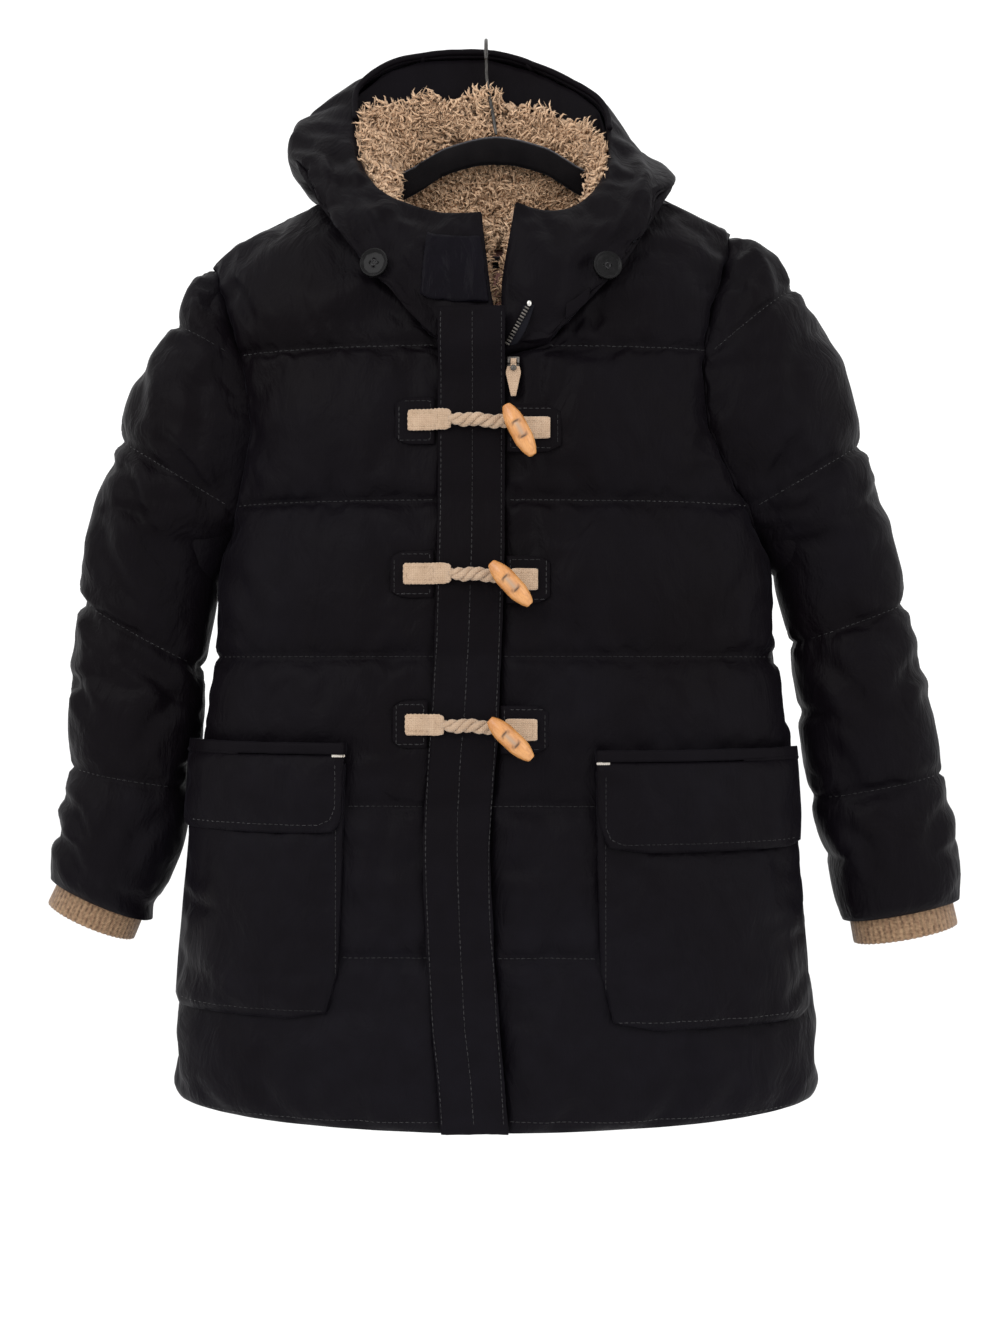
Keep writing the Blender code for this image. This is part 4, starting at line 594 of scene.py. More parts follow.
def merged(*nodes):
    """The nodes' loose triangles as one welded mesh of quads."""
    bm = bmesh.new()
    for node in nodes:
        bm.from_mesh(frame["nodes"][node].data)
    bmesh.ops.remove_doubles(bm, verts=bm.verts, dist=0.01 * MM)
    bmesh.ops.dissolve_degenerate(bm, edges=bm.edges, dist=0.001 * MM)
    bmesh.ops.join_triangles(bm, faces=bm.faces, angle_face_threshold=1.4, angle_shape_threshold=3.1)
    bmesh.ops.recalc_face_normals(bm, faces=bm.faces)
    return bm


def edge_rings(bm):
    """The edges that run side by side through quads, as one number for each edge."""
    bm.edges.index_update()
    parent = list(range(len(bm.edges)))

    def root(i):
        while parent[i] != i:
            parent[i] = parent[parent[i]]
            i = parent[i]
        return i

    for face in bm.faces:
        if len(face.edges) == 4:
            a, b, c, d = (e.index for e in face.edges)
            parent[root(a)] = root(c)
            parent[root(b)] = root(d)
    return [root(i) for i in range(len(parent))]


def even_grid(bm, size):
    """Splits the quads, ring by ring, until their sides are about this long."""
    for _ in range(7):
        rings = edge_rings(bm)
        total, number = {}, {}
        for edge, ring in zip(bm.edges, rings):
            total[ring] = total.get(ring, 0.0) + edge.calc_length()
            number[ring] = number.get(ring, 0) + 1
        long = [e for e, ring in zip(bm.edges, rings) if total[ring] / number[ring] > 1.42 * size]
        if not long:
            break
        bmesh.ops.subdivide_edges(bm, edges=long, cuts=1, use_grid_fill=True)
    return bm


def points_of(mesh):
    co = np.empty(len(mesh.vertices) * 3)
    mesh.vertices.foreach_get("co", co)
    return co.reshape(-1, 3)


def normals_of(mesh):
    no = np.empty(len(mesh.vertices) * 3, np.float32)
    mesh.vertices.foreach_get("normal", no)
    return no.reshape(-1, 3).astype(float)


def set_points(mesh, co):
    mesh.vertices.foreach_set("co", np.asarray(co, np.float32).ravel())
    mesh.update()


def to_object(name, bm, *finishes, smooth=True):
    mesh = bpy.data.meshes.new(name)
    bm.to_mesh(mesh)
    bm.free()
    return mesh_object(name, mesh, *finishes, smooth=smooth)


def mesh_object(name, mesh, *finishes, smooth=True):
    obj = bpy.data.objects.new(name, mesh)
    bpy.context.scene.collection.objects.link(obj)
    for finish in finishes:
        mesh.materials.append(finish_of(finish))
    mesh.shade_smooth() if smooth else mesh.shade_flat()
    return obj


def refine(obj, levels=1):
    """One round of Catmull-Clark subdivision, applied."""
    modifier = obj.modifiers.new("refine", "SUBSURF")
    modifier.levels = modifier.render_levels = levels
    modifier.use_creases = True
    bpy.context.view_layer.update()
    graph = bpy.context.evaluated_depsgraph_get()
    mesh = bpy.data.meshes.new_from_object(obj.evaluated_get(graph), depsgraph=graph)
    old = obj.data
    obj.modifiers.clear()
    mesh.name = obj.name
    obj.data = mesh
    bpy.data.meshes.remove(old)
    mesh.shade_smooth()
    return obj


def piece(name):
    return bpy.data.objects[name]


def dress(obj, *nodes, slot=None, body=COAT, padded=None):
    """Puts a finished piece in the nodes' place."""
    if nodes:
        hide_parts(*nodes)
    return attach(obj, body)


def to_line(points, line):
    """For (x, z) points: distance to a broken line, and the share of its length where it is nearest."""
    line = np.asarray(line, float)
    starts, steps = line[:-1], np.diff(line, axis=0)
    lengths = np.linalg.norm(steps, axis=1)
    before = np.concatenate([[0], np.cumsum(lengths)])
    best = np.full(len(points), 1e9)
    along = np.zeros(len(points))
    for start, step, size, done in zip(starts, steps, lengths, before):
        t = np.clip((points - start) @ step / size**2, 0, 1)
        far = np.linalg.norm(points - start - t[:, None] * step, axis=1)
        nearer = far < best
        best = np.where(nearer, far, best)
        along = np.where(nearer, (done + t * size) / before[-1], along)
    return best, along


def tree_of(*objects):
    """A search tree over the objects' meshes as they are."""
    verts, faces = [], []
    for obj in objects:
        start = len(verts)
        verts += [tuple(v) for v in points_of(obj.data)]
        faces += [tuple(i + start for i in p.vertices) for p in obj.data.polygons]
    return BVHTree.FromPolygons(verts, faces)


def noise_at(points, scale, seed=0.0):
    """Smooth noise from about -1 to 1 at each point."""
    shift = Vector((seed, seed * 1.7, -seed))
    return np.array([noise.noise(Vector(p) * scale + shift) for p in points])


# ------------------------------------------------------------------ padded panels


def outward(kind, co):
    """The way out of the coat at each point."""
    if kind.startswith("sleeve"):
        line = np.array(SLEEVE_MIDDLES[kind.split("_")[1]], float) * MM
        flat = co[:, [0, 2]]
        best, foot = np.full(len(co), 1e9), np.zeros((len(co), 2))
        for a, b in zip(line, line[1:]):
            t = np.clip((flat - a) @ (b - a) / ((b - a) @ (b - a)), 0, 1)
            near = a + t[:, None] * (b - a)
            far = np.linalg.norm(flat - near, axis=1)
            foot = np.where((far < best)[:, None], near, foot)
            best = np.minimum(best, far)
        away = np.stack([co[:, 0] - foot[:, 0], co[:, 1], co[:, 2] - foot[:, 1]], axis=1)
    elif kind.startswith("hood"):
        height = np.clip(co[:, 2], -0.185, -0.085)
        away = co - np.stack([np.full(len(co), -0.003), np.full(len(co), -0.004), height], axis=1)
    else:
        away = np.stack([(co[:, 0] - CENTRE_X) / 0.21**2, co[:, 1] / 0.085**2, 0 * co[:, 0]], axis=1)
    return away / np.maximum(np.linalg.norm(away, axis=1, keepdims=True), 1e-9)


def quilting(kind, co):
    """For each point: distance to the nearest quilting line in metres, and the place along it."""
    best, along = np.full(len(co), 1.0), np.zeros(len(co))
    if kind.startswith("sleeve"):
        for ox, oz, ix, iz in SLEEVE_LINES[kind.split("_")[1]]:
            a, b = np.array((ox, oz)) * MM, np.array((ix, iz)) * MM
            step = (b - a) / np.linalg.norm(b - a)
            rel = co[:, [0, 2]] - a
            far = np.abs(rel[:, 0] * step[1] - rel[:, 1] * step[0])
            here = rel @ step + co[:, 1] * 1.3
            along = np.where(far < best, here, along)
            best = np.minimum(best, far)
    elif kind in ("back", "front_left", "front_right"):
        for line in BODY_LINES:
            far = np.abs(co[:, 2] - line * MM)
            along = np.where(far < best, co[:, 0] + (co[:, 1] > 0) * 0.37, along)
            best = np.minimum(best, far)
    return best, along


def edge_lines(bm, outer):
    """The lines round the outer sheet, each as points in order."""
    links = {}
    for edge in bm.edges:
        sides = [outer[f.index] for f in edge.link_faces]
        if len(sides) == 2 and sides[0] != sides[1]:
            a, b = edge.verts
            links.setdefault(a, []).append(b)
            links.setdefault(b, []).append(a)
    lines = []
    left = dict.fromkeys(links)
    while left:
        here = next(iter(left))
        del left[here]
        line = [here]
        while True:
            ahead = [v for v in links[here] if v in left]
            if not ahead:
                break
            here = ahead[0]
            del left[here]
            line.append(here)
        if len(line) > 8:
            lines.append(np.array([v.co for v in line]))
    return lines


class Panel:
    """A padded panel while it is being made."""

    def __init__(self, node, cell, lining=None):
        self.node = node
        self.cell = cell
        bm = even_grid(merged(node), cell)
        co = np.array([v.co for v in bm.verts])
        self.outer_flags = self.mark_outer(bm)
        loose = [v for v in bm.verts if all(self.outer_flags[f.index] for f in v.link_faces)]
        far, _ = quilting(node, co)
        free = [v for v in loose if far[v.index] > 0.004]
        for _ in range(3):
            bmesh.ops.smooth_vert(
                bm, verts=free, factor=0.5, use_axis_x=True, use_axis_y=True, use_axis_z=True)
        crease = bm.edges.layers.float.new("crease_edge")
        for edge in bm.edges:
            if edge.calc_face_angle(0.0) > SHEET_EDGE:
                edge[crease] = 0.9
        for face, out in zip(bm.faces, self.outer_flags):
            face.material_index = 0 if out or not lining else self.inner_slot(face)
        self.edge_lines = edge_lines(bm, self.outer_flags)
        layer = bm.verts.layers.float.new("outer")
        for v in bm.verts:
            v[layer] = float(all(self.outer_flags[f.index] for f in v.link_faces))
        finishes = ("navy_shell", lining) if lining else ("navy_shell",)
        self.obj = to_object(f"{node}_shell", bm, *finishes)

    def mark_outer(self, bm):
        """Which faces look out of the coat: each sheet between sharp edges is judged as a whole."""
        bm.faces.ensure_lookup_table()
        bm.verts.index_update()
        bm.faces.index_update()
        bm.normal_update()
        centres = np.array([f.calc_center_median() for f in bm.faces])
        normals = np.array([f.normal for f in bm.faces])
        areas = np.array([f.calc_area() for f in bm.faces])
        sheet = np.full(len(areas), -1)
        found = 0
        for face in bm.faces:
            if sheet[face.index] >= 0:
                continue
            sheet[face.index] = found
            stack = [face]
            while stack:
                for edge in stack.pop().edges:
                    if edge.calc_face_angle(3.0) > SHEET_EDGE:
                        continue
                    for other in edge.link_faces:
                        if sheet[other.index] < 0:
                            sheet[other.index] = found
                            stack.append(other)
            found += 1
        looks = (normals * outward(self.node, centres)).sum(1) * areas
        mean = np.bincount(sheet, looks) / np.bincount(sheet, areas)
        size = np.bincount(sheet, areas)
        large = size > 0.04 * size.sum()
        self.facing = mean[sheet]
        self.large = large[sheet]
        return self.facing > CLOTH_EDGE

    def inner_slot(self, face):
        inside = self.facing[face.index] < -CLOTH_EDGE and self.large[face.index]
        x, _, z = face.calc_center_median()
        return 1 if inside and abs(x - CENTRE_X) < LINED_HALF and z < LINED_TOP else 0

    def outer_sheet(self, covers):
        """A copy of the outer faces alone, with each point's weight: 1 where it is sewn or covered."""
        bm = bmesh.new()
        bm.from_mesh(self.obj.data)
        number = bm.verts.layers.int.new("number")
        for v in bm.verts:
            v[number] = v.index
        inner = [f for f, out in zip(bm.faces, self.outer_flags) if not out]
        bmesh.ops.delete(bm, geom=inner, context="FACES")
        bm.verts.index_update()
        co = np.array([v.co for v in bm.verts])
        far, _ = quilting(self.node, co)
        weight = np.clip(1.5 - far / (0.5 * self.cell), 0, 1)
        out = outward(self.node, co)
        for v in bm.verts:
            if v.is_boundary:
                weight[v.index] = 1.0
            elif covers and weight[v.index] < 1.0:
                hit = covers.ray_cast(v.co + v.normal * 0.0002, v.normal, 0.02)[0]
                if hit or covers.ray_cast(v.co, Vector(out[v.index]), 0.02)[0]:
                    weight[v.index] = 1.0
        self.numbers = np.array([v[number] for v in bm.verts])
        mesh = bpy.data.meshes.new(f"{self.node}_sheet")
        bm.to_mesh(mesh)
        bm.free()
        sheet = bpy.data.objects.new(f"{self.node}_sheet", mesh)
        bpy.context.scene.collection.objects.link(sheet)
        group = sheet.vertex_groups.new(name="sewn")
        for i, w in enumerate(weight):
            group.add([i], float(w), "REPLACE")
        return sheet


def blow_up(panels, settings, covers_of):
    """Runs Blender's cloth on every panel's outer sheet at once, and moves the panels to where it went."""
    scene = bpy.context.scene
    sheets = []
    for panel in panels:
        sheet = panel.outer_sheet(covers_of(panel))
        cloth = sheet.modifiers.new("padding", "CLOTH")
        body = cloth.settings
        body.quality = 4
        body.mass = 0.15
        body.air_damping = 2.0
        body.tension_stiffness = 12.0
        body.compression_stiffness = 8.0
        body.shear_stiffness = 4.0
        body.bending_stiffness = 0.15
        body.use_pressure = True
        body.uniform_pressure_force = settings.pressure
        body.vertex_group_mass = "sewn"
        body.pin_stiffness = 1.0
        body.shrink_min = -settings.growth
        body.effector_weights.gravity = 0.0
        cloth.collision_settings.use_collision = False
        cloth.collision_settings.use_self_collision = False
        cloth.point_cache.frame_start = 1
        cloth.point_cache.frame_end = 20
        sheets.append(sheet)
    for number in range(1, 21):
        scene.frame_set(number)
    graph = bpy.context.evaluated_depsgraph_get()
    for panel, sheet in zip(panels, sheets):
        blown = sheet.evaluated_get(graph).to_mesh()
        rest, moved = points_of(sheet.data), points_of(blown)
        sheet.evaluated_get(graph).to_mesh_clear()
        move = moved - rest
        pairs = np.empty(len(sheet.data.edges) * 2, int)
        sheet.data.edges.foreach_get("vertices", pairs)
        pairs = pairs.reshape(-1, 2)
        broad = spread_out(move, pairs, 14)
        move = move - 0.35 * broad
        size = np.linalg.norm(move, axis=1, keepdims=True)
        move *= settings.reach * np.tanh(size / settings.reach) / np.maximum(size, 1e-9)
        co = points_of(panel.obj.data)
        co[panel.numbers] += move
        set_points(panel.obj.data, co)
        mesh = sheet.data
        bpy.data.objects.remove(sheet)
        bpy.data.meshes.remove(mesh)
    scene.frame_set(1)


def spread_out(values, pairs, rounds):
    """The values averaged with their neighbours' a number of times."""
    number = np.zeros(len(values))
    np.add.at(number, pairs.ravel(), 1)
    number = np.maximum(number, 1)[:, None]
    for _ in range(rounds):
        total = np.zeros_like(values)
        np.add.at(total, pairs[:, 0], values[pairs[:, 1]])
        np.add.at(total, pairs[:, 1], values[pairs[:, 0]])
        values = 0.5 * values + 0.5 * total / number
    return values


def crease_depth(flat, line, depth, half):
    """How far a crease pushes the cloth in at (x, z) points, with a soft ridge on each side."""
    far, along = to_line(flat, np.array(line) * MM)
    fade = np.clip(np.minimum(along, 1 - along) * 4.5, 0, 1) ** 0.7
    across = far / (half * MM)
    return fade * depth * MM * (np.exp(-across**2) - 0.42 * np.exp(-((across - 2.1) / 0.9) ** 2))


def hidden_creases(node, co, rng):
    """Creases for the sides that the photograph doesn't show, like the ones it shows."""
    low, high = co.min(0) / MM, co.max(0) / MM
    made = []
    if node.startswith("sleeve"):
        middles = SLEEVE_MIDDLES[node.split("_")[1]]
        for (ax, az), (bx, bz) in zip(middles[1:], middles[2:]):
            for _ in range(3):
                t = rng.uniform(0.1, 0.9)
                x, z = ax + (bx - ax) * t, az + (bz - az) * t
                lean = rng.uniform(-0.6, 0.9)
                reach = rng.uniform(16, 34)
                across = (math.cos(lean) * reach, math.sin(lean) * reach)
                line = ((x - across[0], z - across[1]), (x + 4, z + 5), (x + across[0], z + across[1]))
                made.append((line, rng.uniform(1.2, 2.8), rng.uniform(4.5, 7.0)))
    elif node == "back":
        for _ in range(13):
            x, z = rng.uniform(low[0] + 50, high[0] - 50), rng.uniform(low[2] + 40, -190)
            reach = rng.uniform(18, 42)
            lean = rng.uniform(-0.5, 0.5)
            made.append((((x - lean * reach, z + reach), (x + rng.uniform(-5, 5), z),
                          (x + lean * reach, z - reach)), rng.uniform(0.8, 1.9), rng.uniform(5.0, 8.0)))
    elif node.startswith("hood"):
        for _ in range(6):
            x, z = rng.uniform(low[0] + 10, high[0] - 10), rng.uniform(max(low[2], -180) + 10, high[2] - 20)
            reach = rng.uniform(14, 30)
            lean = rng.uniform(-1.2, 1.2)
            made.append((((x - lean * reach, z + reach), (x, z), (x + lean * reach, z - reach)),
                         rng.uniform(0.9, 1.9), rng.uniform(4.5, 7.0)))
    return made


def shape_cloth(panel, settings):
    """Gathers beside the quilting, and the creases, on the finer mesh."""
    obj, node = panel.obj, panel.node
    mesh = obj.data
    co, normal = points_of(mesh), normals_of(mesh)
    outer = np.empty(len(co), np.float32)
    mesh.attributes["outer"].data.foreach_get("value", outer)
    pairs = np.empty(len(mesh.edges) * 2, int)
    mesh.edges.foreach_get("vertices", pairs)
    outer = spread_out(outer[:, None], pairs.reshape(-1, 2), 3)[:, 0] * outer
    push = np.zeros(len(co))
    far, along = quilting(node, co)
    if far.min() < 0.05:
        near = np.where(far < 0.035)[0]
        where = np.stack([along[near], far[near] * 0.35, co[near, 2] * 0.2], axis=1)
        gather = noise_at(where, 95.0, 3.0) + 0.55 * noise_at(where, 210.0, 8.0)
        reach = 0.011 + 0.006 * noise_at(where * (1, 0, 0), 30.0, 5.0)
        hold = np.exp(-(far[near] / reach) ** 2) * np.clip(far[near] / 0.0018, 0.25, 1)
        push[near] -= settings.pucker * gather * hold
        push[near] -= 0.0019 * np.exp(-(far[near] / 0.0034) ** 2)
    front = normal[:, 1] < 0.25
    flat = co[:, [0, 2]]
    for line, depth, half in CREASES.get(node, ()):
        push -= 1.6 * crease_depth(flat, line, depth, half) * front
    rng = random.Random(f"creases {node}")
    behind = normal[:, 1] > -0.1
    for line, depth, half in hidden_creases(node, co, rng):
        push -= 1.6 * crease_depth(flat, line, depth, half) * behind
    push += 0.0011 * noise_at(co, 26.0, 2.0) + 0.0005 * noise_at(co * (1, 1, 0.5), 75.0, 6.0)
    deepest = -0.0028 if node.startswith(("front", "back", "sleeve")) else -0.0016
    if node.startswith(("front", "sleeve")):
        deepest = deepest - 0.0022 * np.clip((far - 0.012) / 0.02, 0, 1)
    push = np.maximum(push, deepest)
    set_points(mesh, co + normal * (push * outer)[:, None])


def nodes_named(*starts):
    return [n for n in frame["nodes"] if n.startswith(starts)]


EDGE_LINES = {}
LOOP_X, LOOP_Z = (-26.0, 14.0), -156.0  # ends and height of the hanging loop, in millimetres
PANEL_NODES = (
    "back", "front_left", "front_right", "sleeve_left", "sleeve_right",
    "hood_side_left", "hood_side_right", "hood_center",
    "pocket_left", "pocket_right", "pocket_flap_left", "pocket_flap_right",
)
PANEL_LINING = dict.fromkeys(("back", "front_left", "front_right"), "rose_lining")
PANEL_FILL = {
    "back": 0.45, "front_left": 0.45, "front_right": 0.45, "sleeve_left": 0.55, "sleeve_right": 0.55,
}
LYING_ON_FRONTS = (
    "pocket", "placket", "toggle_patch", "chin_flap", "hood_side", "zip", "toggle_loop", "toggle_tail",
)
COVERS = {
    "front_left": LYING_ON_FRONTS,
    "front_right": LYING_ON_FRONTS,
    "back": ("hood_side", "hood_center"),
    "pocket_left": ("pocket_flap", "pocket_welt"),
    "pocket_right": ("pocket_flap", "pocket_welt"),
    "pocket_flap_left": ("pocket_welt",),
    "pocket_flap_right": ("pocket_welt",),
    "hood_side_left": ("button_left", "chin_flap"),
    "hood_side_right": ("button_right", "button_tab", "zip_tape_top"),
    "sleeve_left": (),
    "sleeve_right": (),
    "hood_center": (),
}


def covers_of(panel):
    names = [n for n in nodes_named(*COVERS[panel.node])] if COVERS[panel.node] else []
    return tree_of(*[frame["nodes"][n] for n in names]) if names else None


class COAT_OT_shell(bpy.types.Operator):
    """Padded panels of the body, sleeves, hood and pockets"""

    bl_idname = "coat.shell"
    bl_label = "Shell Panels"

    def execute(self, context):
        settings = context.scene.coat_shell
        panels = [Panel(n, settings.cell, PANEL_LINING.get(n)) for n in PANEL_NODES]
        blow_up(panels, settings, covers_of)
        for panel in panels:
            EDGE_LINES[panel.node] = panel.edge_lines
            refine(panel.obj)
            shape_cloth(panel, settings)
            dress(panel.obj, panel.node, slot="navy_shell_cloth", padded=PANEL_FILL.get(panel.node, 0.35))
        return {"FINISHED"}


# ------------------------------------------------------------------ thin cloth


def thin_copy(node, name, size, *finishes, smooth=2, crumple=0.0, levels=1, seed=1.0):
    """A thin piece on its solid's form, with its edges kept and its face slightly uneven."""
    bm = even_grid(merged(node), size)
    crease = bm.edges.layers.float.new("crease_edge")
    for edge in bm.edges:
        if edge.calc_face_angle(0.0) > 0.9:
            edge[crease] = 0.75
    flat = [v for v in bm.verts if all(e.calc_face_angle(0.0) < 0.7 for e in v.link_edges)]
    for _ in range(smooth):
        bmesh.ops.smooth_vert(bm, verts=flat, factor=0.5, use_axis_x=True, use_axis_y=True, use_axis_z=True)
    obj = refine(to_object(name, bm, *finishes), levels)
    if crumple:
        co, normal = points_of(obj.data), normals_of(obj.data)
        waves = noise_at(co * (1, 1, 0.6), 70.0, seed) + 0.5 * noise_at(co, 160.0, seed + 3)
        set_points(obj.data, co + normal * (waves * crumple)[:, None])
    return obj


THIN_PIECES = (
    # node, grid, finish, unevenness, flat (width, length) in metres, how it is held, and what it lies on
    ("placket", 0.006, "navy_flat", 0.0006, (0.0465, 0.575), "hung", "front_right_shell"),
    ("pocket_welt_left", 0.005, "navy_flat", 0.0003, (0.0145, 0.148), "laid", "front_left_shell"),
    ("pocket_welt_right", 0.005, "navy_flat", 0.0003, (0.0145, 0.166), "laid", "front_right_shell"),
    ("chin_flap", 0.004, "navy_shiny", 0.0011, (0.046, 0.050), "folded", "front_left_shell"),
    ("hood_facing", 0.006, "navy_flat", 0.0006, (0.031, 0.205), "laid", "hood_center_shell"),
    ("back_neck_lining", 0.005, "rose_lining", 0.0006, (0.094, 0.068), "hung", "back_shell"),
    ("button_tab", 0.003, "navy_flat", 0.0002, (0.0125, 0.0170), "laid", "hood_side_right_shell"),
)


class COAT_OT_thin_cloth(bpy.types.Operator):
    """Placket, welts, chin flap, facings and the patches under the toggles"""

    bl_idname = "coat.thin_cloth"
    bl_label = "Thin Cloth"

    def execute(self, context):
        for seed, (node, size, finish, crumple, flat, held, carrier) in enumerate(THIN_PIECES):
            obj = thin_copy(node, f"{node}_cloth", size, finish, crumple=crumple, seed=seed * 2.3)
            slot = "rose_lining" if finish == "rose_lining" else "navy_shell_cloth"
            dress(obj, node, slot=slot)
        for node in nodes_named("toggle_patch"):
            obj = thin_copy(node, f"{node}_cloth", 0.006, "navy_flat", crumple=0.0002)
            dress(obj, node, slot="navy_shell_cloth")
            carrier = "placket_cloth" if "right" not in node else "front_right_shell"
        self.hanging_loop()
        return {"FINISHED"}

    def hanging_loop(self):
        """The black tape loop across the inside of the neck."""
        tree = tree_of(piece("back_neck_lining_cloth"))
        low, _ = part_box("back_neck_lining")
        path = []
        for t in np.linspace(0, 1, 15):
            x = LOOP_X[0] + (LOOP_X[1] - LOOP_X[0]) * t
            hit = tree.ray_cast(Vector((x * MM, low.y - 0.05, LOOP_Z * MM)), Vector((0, 1, 0)))[0]
            if hit:
                sag = math.sin(math.pi * t)
                path.append(hit + Vector((0, -0.0006 - 0.0016 * sag, -0.0018 * sag)))
        bm = bmesh.new()
        strand_mesh(bm, path, 0.0019, 10)
        bmesh.ops.recalc_face_normals(bm, faces=bm.faces)
        dress(refine(to_object("hanging_loop", bm, "loop_tape")), slot="navy_shell_cloth")


# ------------------------------------------------------------------ rolled edges


def nearest_line(lines, trees, far):
    """The places of the lines that lie within reach of the trees."""
    kept = []
    for line in lines:
        for place in line:
            if any(tree.find_nearest(Vector(place), far)[0] is not None for tree in trees):
                kept.append(place)
    return np.array(kept).reshape(-1, 3)


def even_path(points, step, rounds, closed=False):
    """The points in order, evenly spaced and smoothed."""
    points = np.asarray(points, float)
    for _ in range(rounds):
        if closed:
            points = 0.5 * points + 0.25 * (np.roll(points, 1, 0) + np.roll(points, -1, 0))
        else:
            points[1:-1] = 0.5 * points[1:-1] + 0.25 * (points[:-2] + points[2:])
    if closed:
        points = np.concatenate([points, points[:1]])
    gaps = np.linalg.norm(np.diff(points, axis=0), axis=1)
    done = np.concatenate([[0], np.cumsum(gaps)])
    where = np.linspace(0, done[-1], max(int(done[-1] / step), 8))
    return np.stack([np.interp(where, done, points[:, i]) for i in range(3)], axis=1)


def near_runs(line, tree, far):
    """The stretches of a closed line that lie within reach of the tree, and whether that is all of it."""
    near = np.array([tree.find_nearest(Vector(place), far)[0] is not None for place in line])
    if near.all():
        return [line], True
    start = int(np.argmin(near))
    line, near = np.roll(line, -start, axis=0), np.roll(near, -start)
    runs = [[]]
    for place, here in zip(line, near):
        if here:
            runs[-1].append(place)
        elif runs[-1]:
            runs.append([])
    return [np.array(run) for run in runs if len(run) > 6], False


SEAMS = (
    # panel, what it is sewn to, half thickness of the seam, name
    ("hood_center", ("hood_side_left",), 0.0021, "hood_seam_left"),
    ("hood_center", ("hood_side_right",), 0.0021, "hood_seam_right"),
    ("front_left", ("back",), 0.0017, "side_seam_left"),
    ("front_right", ("back",), 0.0017, "side_seam_right"),
    ("sleeve_left", ("front_left", "back"), 0.0025, "armhole_seam_left"),
    ("sleeve_right", ("front_right", "back"), 0.0025, "armhole_seam_right"),
)


class COAT_OT_seams(bpy.types.Operator):
    """The turned-in cloth that fills the seams between the panels"""

    bl_idname = "coat.seams"
    bl_label = "Seams"

    def execute(self, context):
        for panel, others, size, name in SEAMS:
            tree = tree_of(*[frame["nodes"][n] for n in others])
            bm = bmesh.new()
            for line in EDGE_LINES[panel]:
                runs, whole = near_runs(line, tree, 0.006)
                for run in runs:
                    path = even_path(run, 0.004, 2, whole)
                    path = path - outward(panel, path) * (0.75 * size)
                    roll = [size * (1 + 0.12 * noise.noise(Vector(p) * 90.0)) for p in path]
                    strand_mesh(bm, path, roll, 8)
            if not bm.verts:
                raise RuntimeError(f"{name}: no edge lies near what it is sewn to")
            bmesh.ops.recalc_face_normals(bm, faces=bm.faces)
            dress(to_object(name, bm, "navy_flat"), slot="navy_shell_cloth")
        return {"FINISHED"}


class COAT_OT_rims(bpy.types.Operator):
    """Rolled binding round the hood's rim"""

    bl_idname = "coat.rims"
    bl_label = "Hood Rim"

    def execute(self, context):
        facing = tree_of(frame["nodes"]["hood_facing"])
        middle = np.array([-0.003, 0.0, -0.105])
        places = np.concatenate([nearest_line(EDGE_LINES[n], [facing], 0.0065)
                                 for n in ("hood_side_left", "hood_center", "hood_side_right")])
        turn = np.arctan2(places[:, 0] - middle[0], places[:, 2] - middle[2])
        order = np.argsort(turn)
        places, turn = places[order], turn[order]
        slots = np.linspace(turn[0], turn[-1], 56)
        path = []
        for a, b in zip(slots, slots[1:]):
            near = places[(turn >= a) & (turn <= b)]
            if len(near):
                path.append(near.mean(0))
        path = even_path(path, 0.0026, 3)
        bm = bmesh.new()
        size = context.scene.coat_shell.binding
        roll = [size * (1 + 0.10 * noise.noise(Vector(p) * 130.0)) for p in path]
        strand_mesh(bm, path + np.array([0, -0.0006, 0]), roll, 12)
        bmesh.ops.recalc_face_normals(bm, faces=bm.faces)
        dress(refine(to_object("hood_rim_binding", bm, "navy_flat")), slot="navy_shell_cloth")
        return {"FINISHED"}


# ------------------------------------------------------------------ knitted cuffs


class COAT_OT_cuffs(bpy.types.Operator):
    """Ribbed knit cuffs"""

    bl_idname = "coat.cuffs"
    bl_label = "Knitted Cuffs"

    def execute(self, context):
        trim = context.scene.coat_trim
        for side in (LEFT, RIGHT):
            bm = even_grid(merged(f"cuff_{side}"), 0.0032)
            obj = refine(to_object(f"cuff_{side}_knit", bm, "tan_knit"))
            mesh = obj.data
            co, normal = points_of(mesh), normals_of(mesh)
            ox, oz, ix, iz = SLEEVE_ENDS[side]
            start, end = np.array((ox, oz)) * MM, np.array((ix, iz)) * MM
            across = (end - start) / np.linalg.norm(end - start)
            down = np.array((across[1], -across[0]))
            down = down if down[1] < 0 else -down
            rel = co[:, [0, 2]] - (start + end) / 2
            u, v = rel @ across, rel @ down
            deep = max(np.abs(co[:, 1]).max(), 1e-4)
            turn = np.arctan2(co[:, 1] / deep, u / np.abs(u).max())
            # the ridge shapes the ribs and, in the knit's material, also places the painted shade in the
            # valleys between them
            ridge = 0.5 + 0.5 * np.cos(turn * trim.ribs)
            set_points(mesh, co + normal * ((ridge - 0.5) * trim.rib_depth)[:, None])
            for name, values in (("ridge", ridge), ("along", (v - v.min()) / (v.max() - v.min()))):
                layer = mesh.attributes.new(name, "FLOAT", "POINT")
                layer.data.foreach_set("value", values.astype(np.float32))
            dress(obj, f"cuff_{side}", slot="tan_rib_knit")
        return {"FINISHED"}


# ------------------------------------------------------------------ fleece


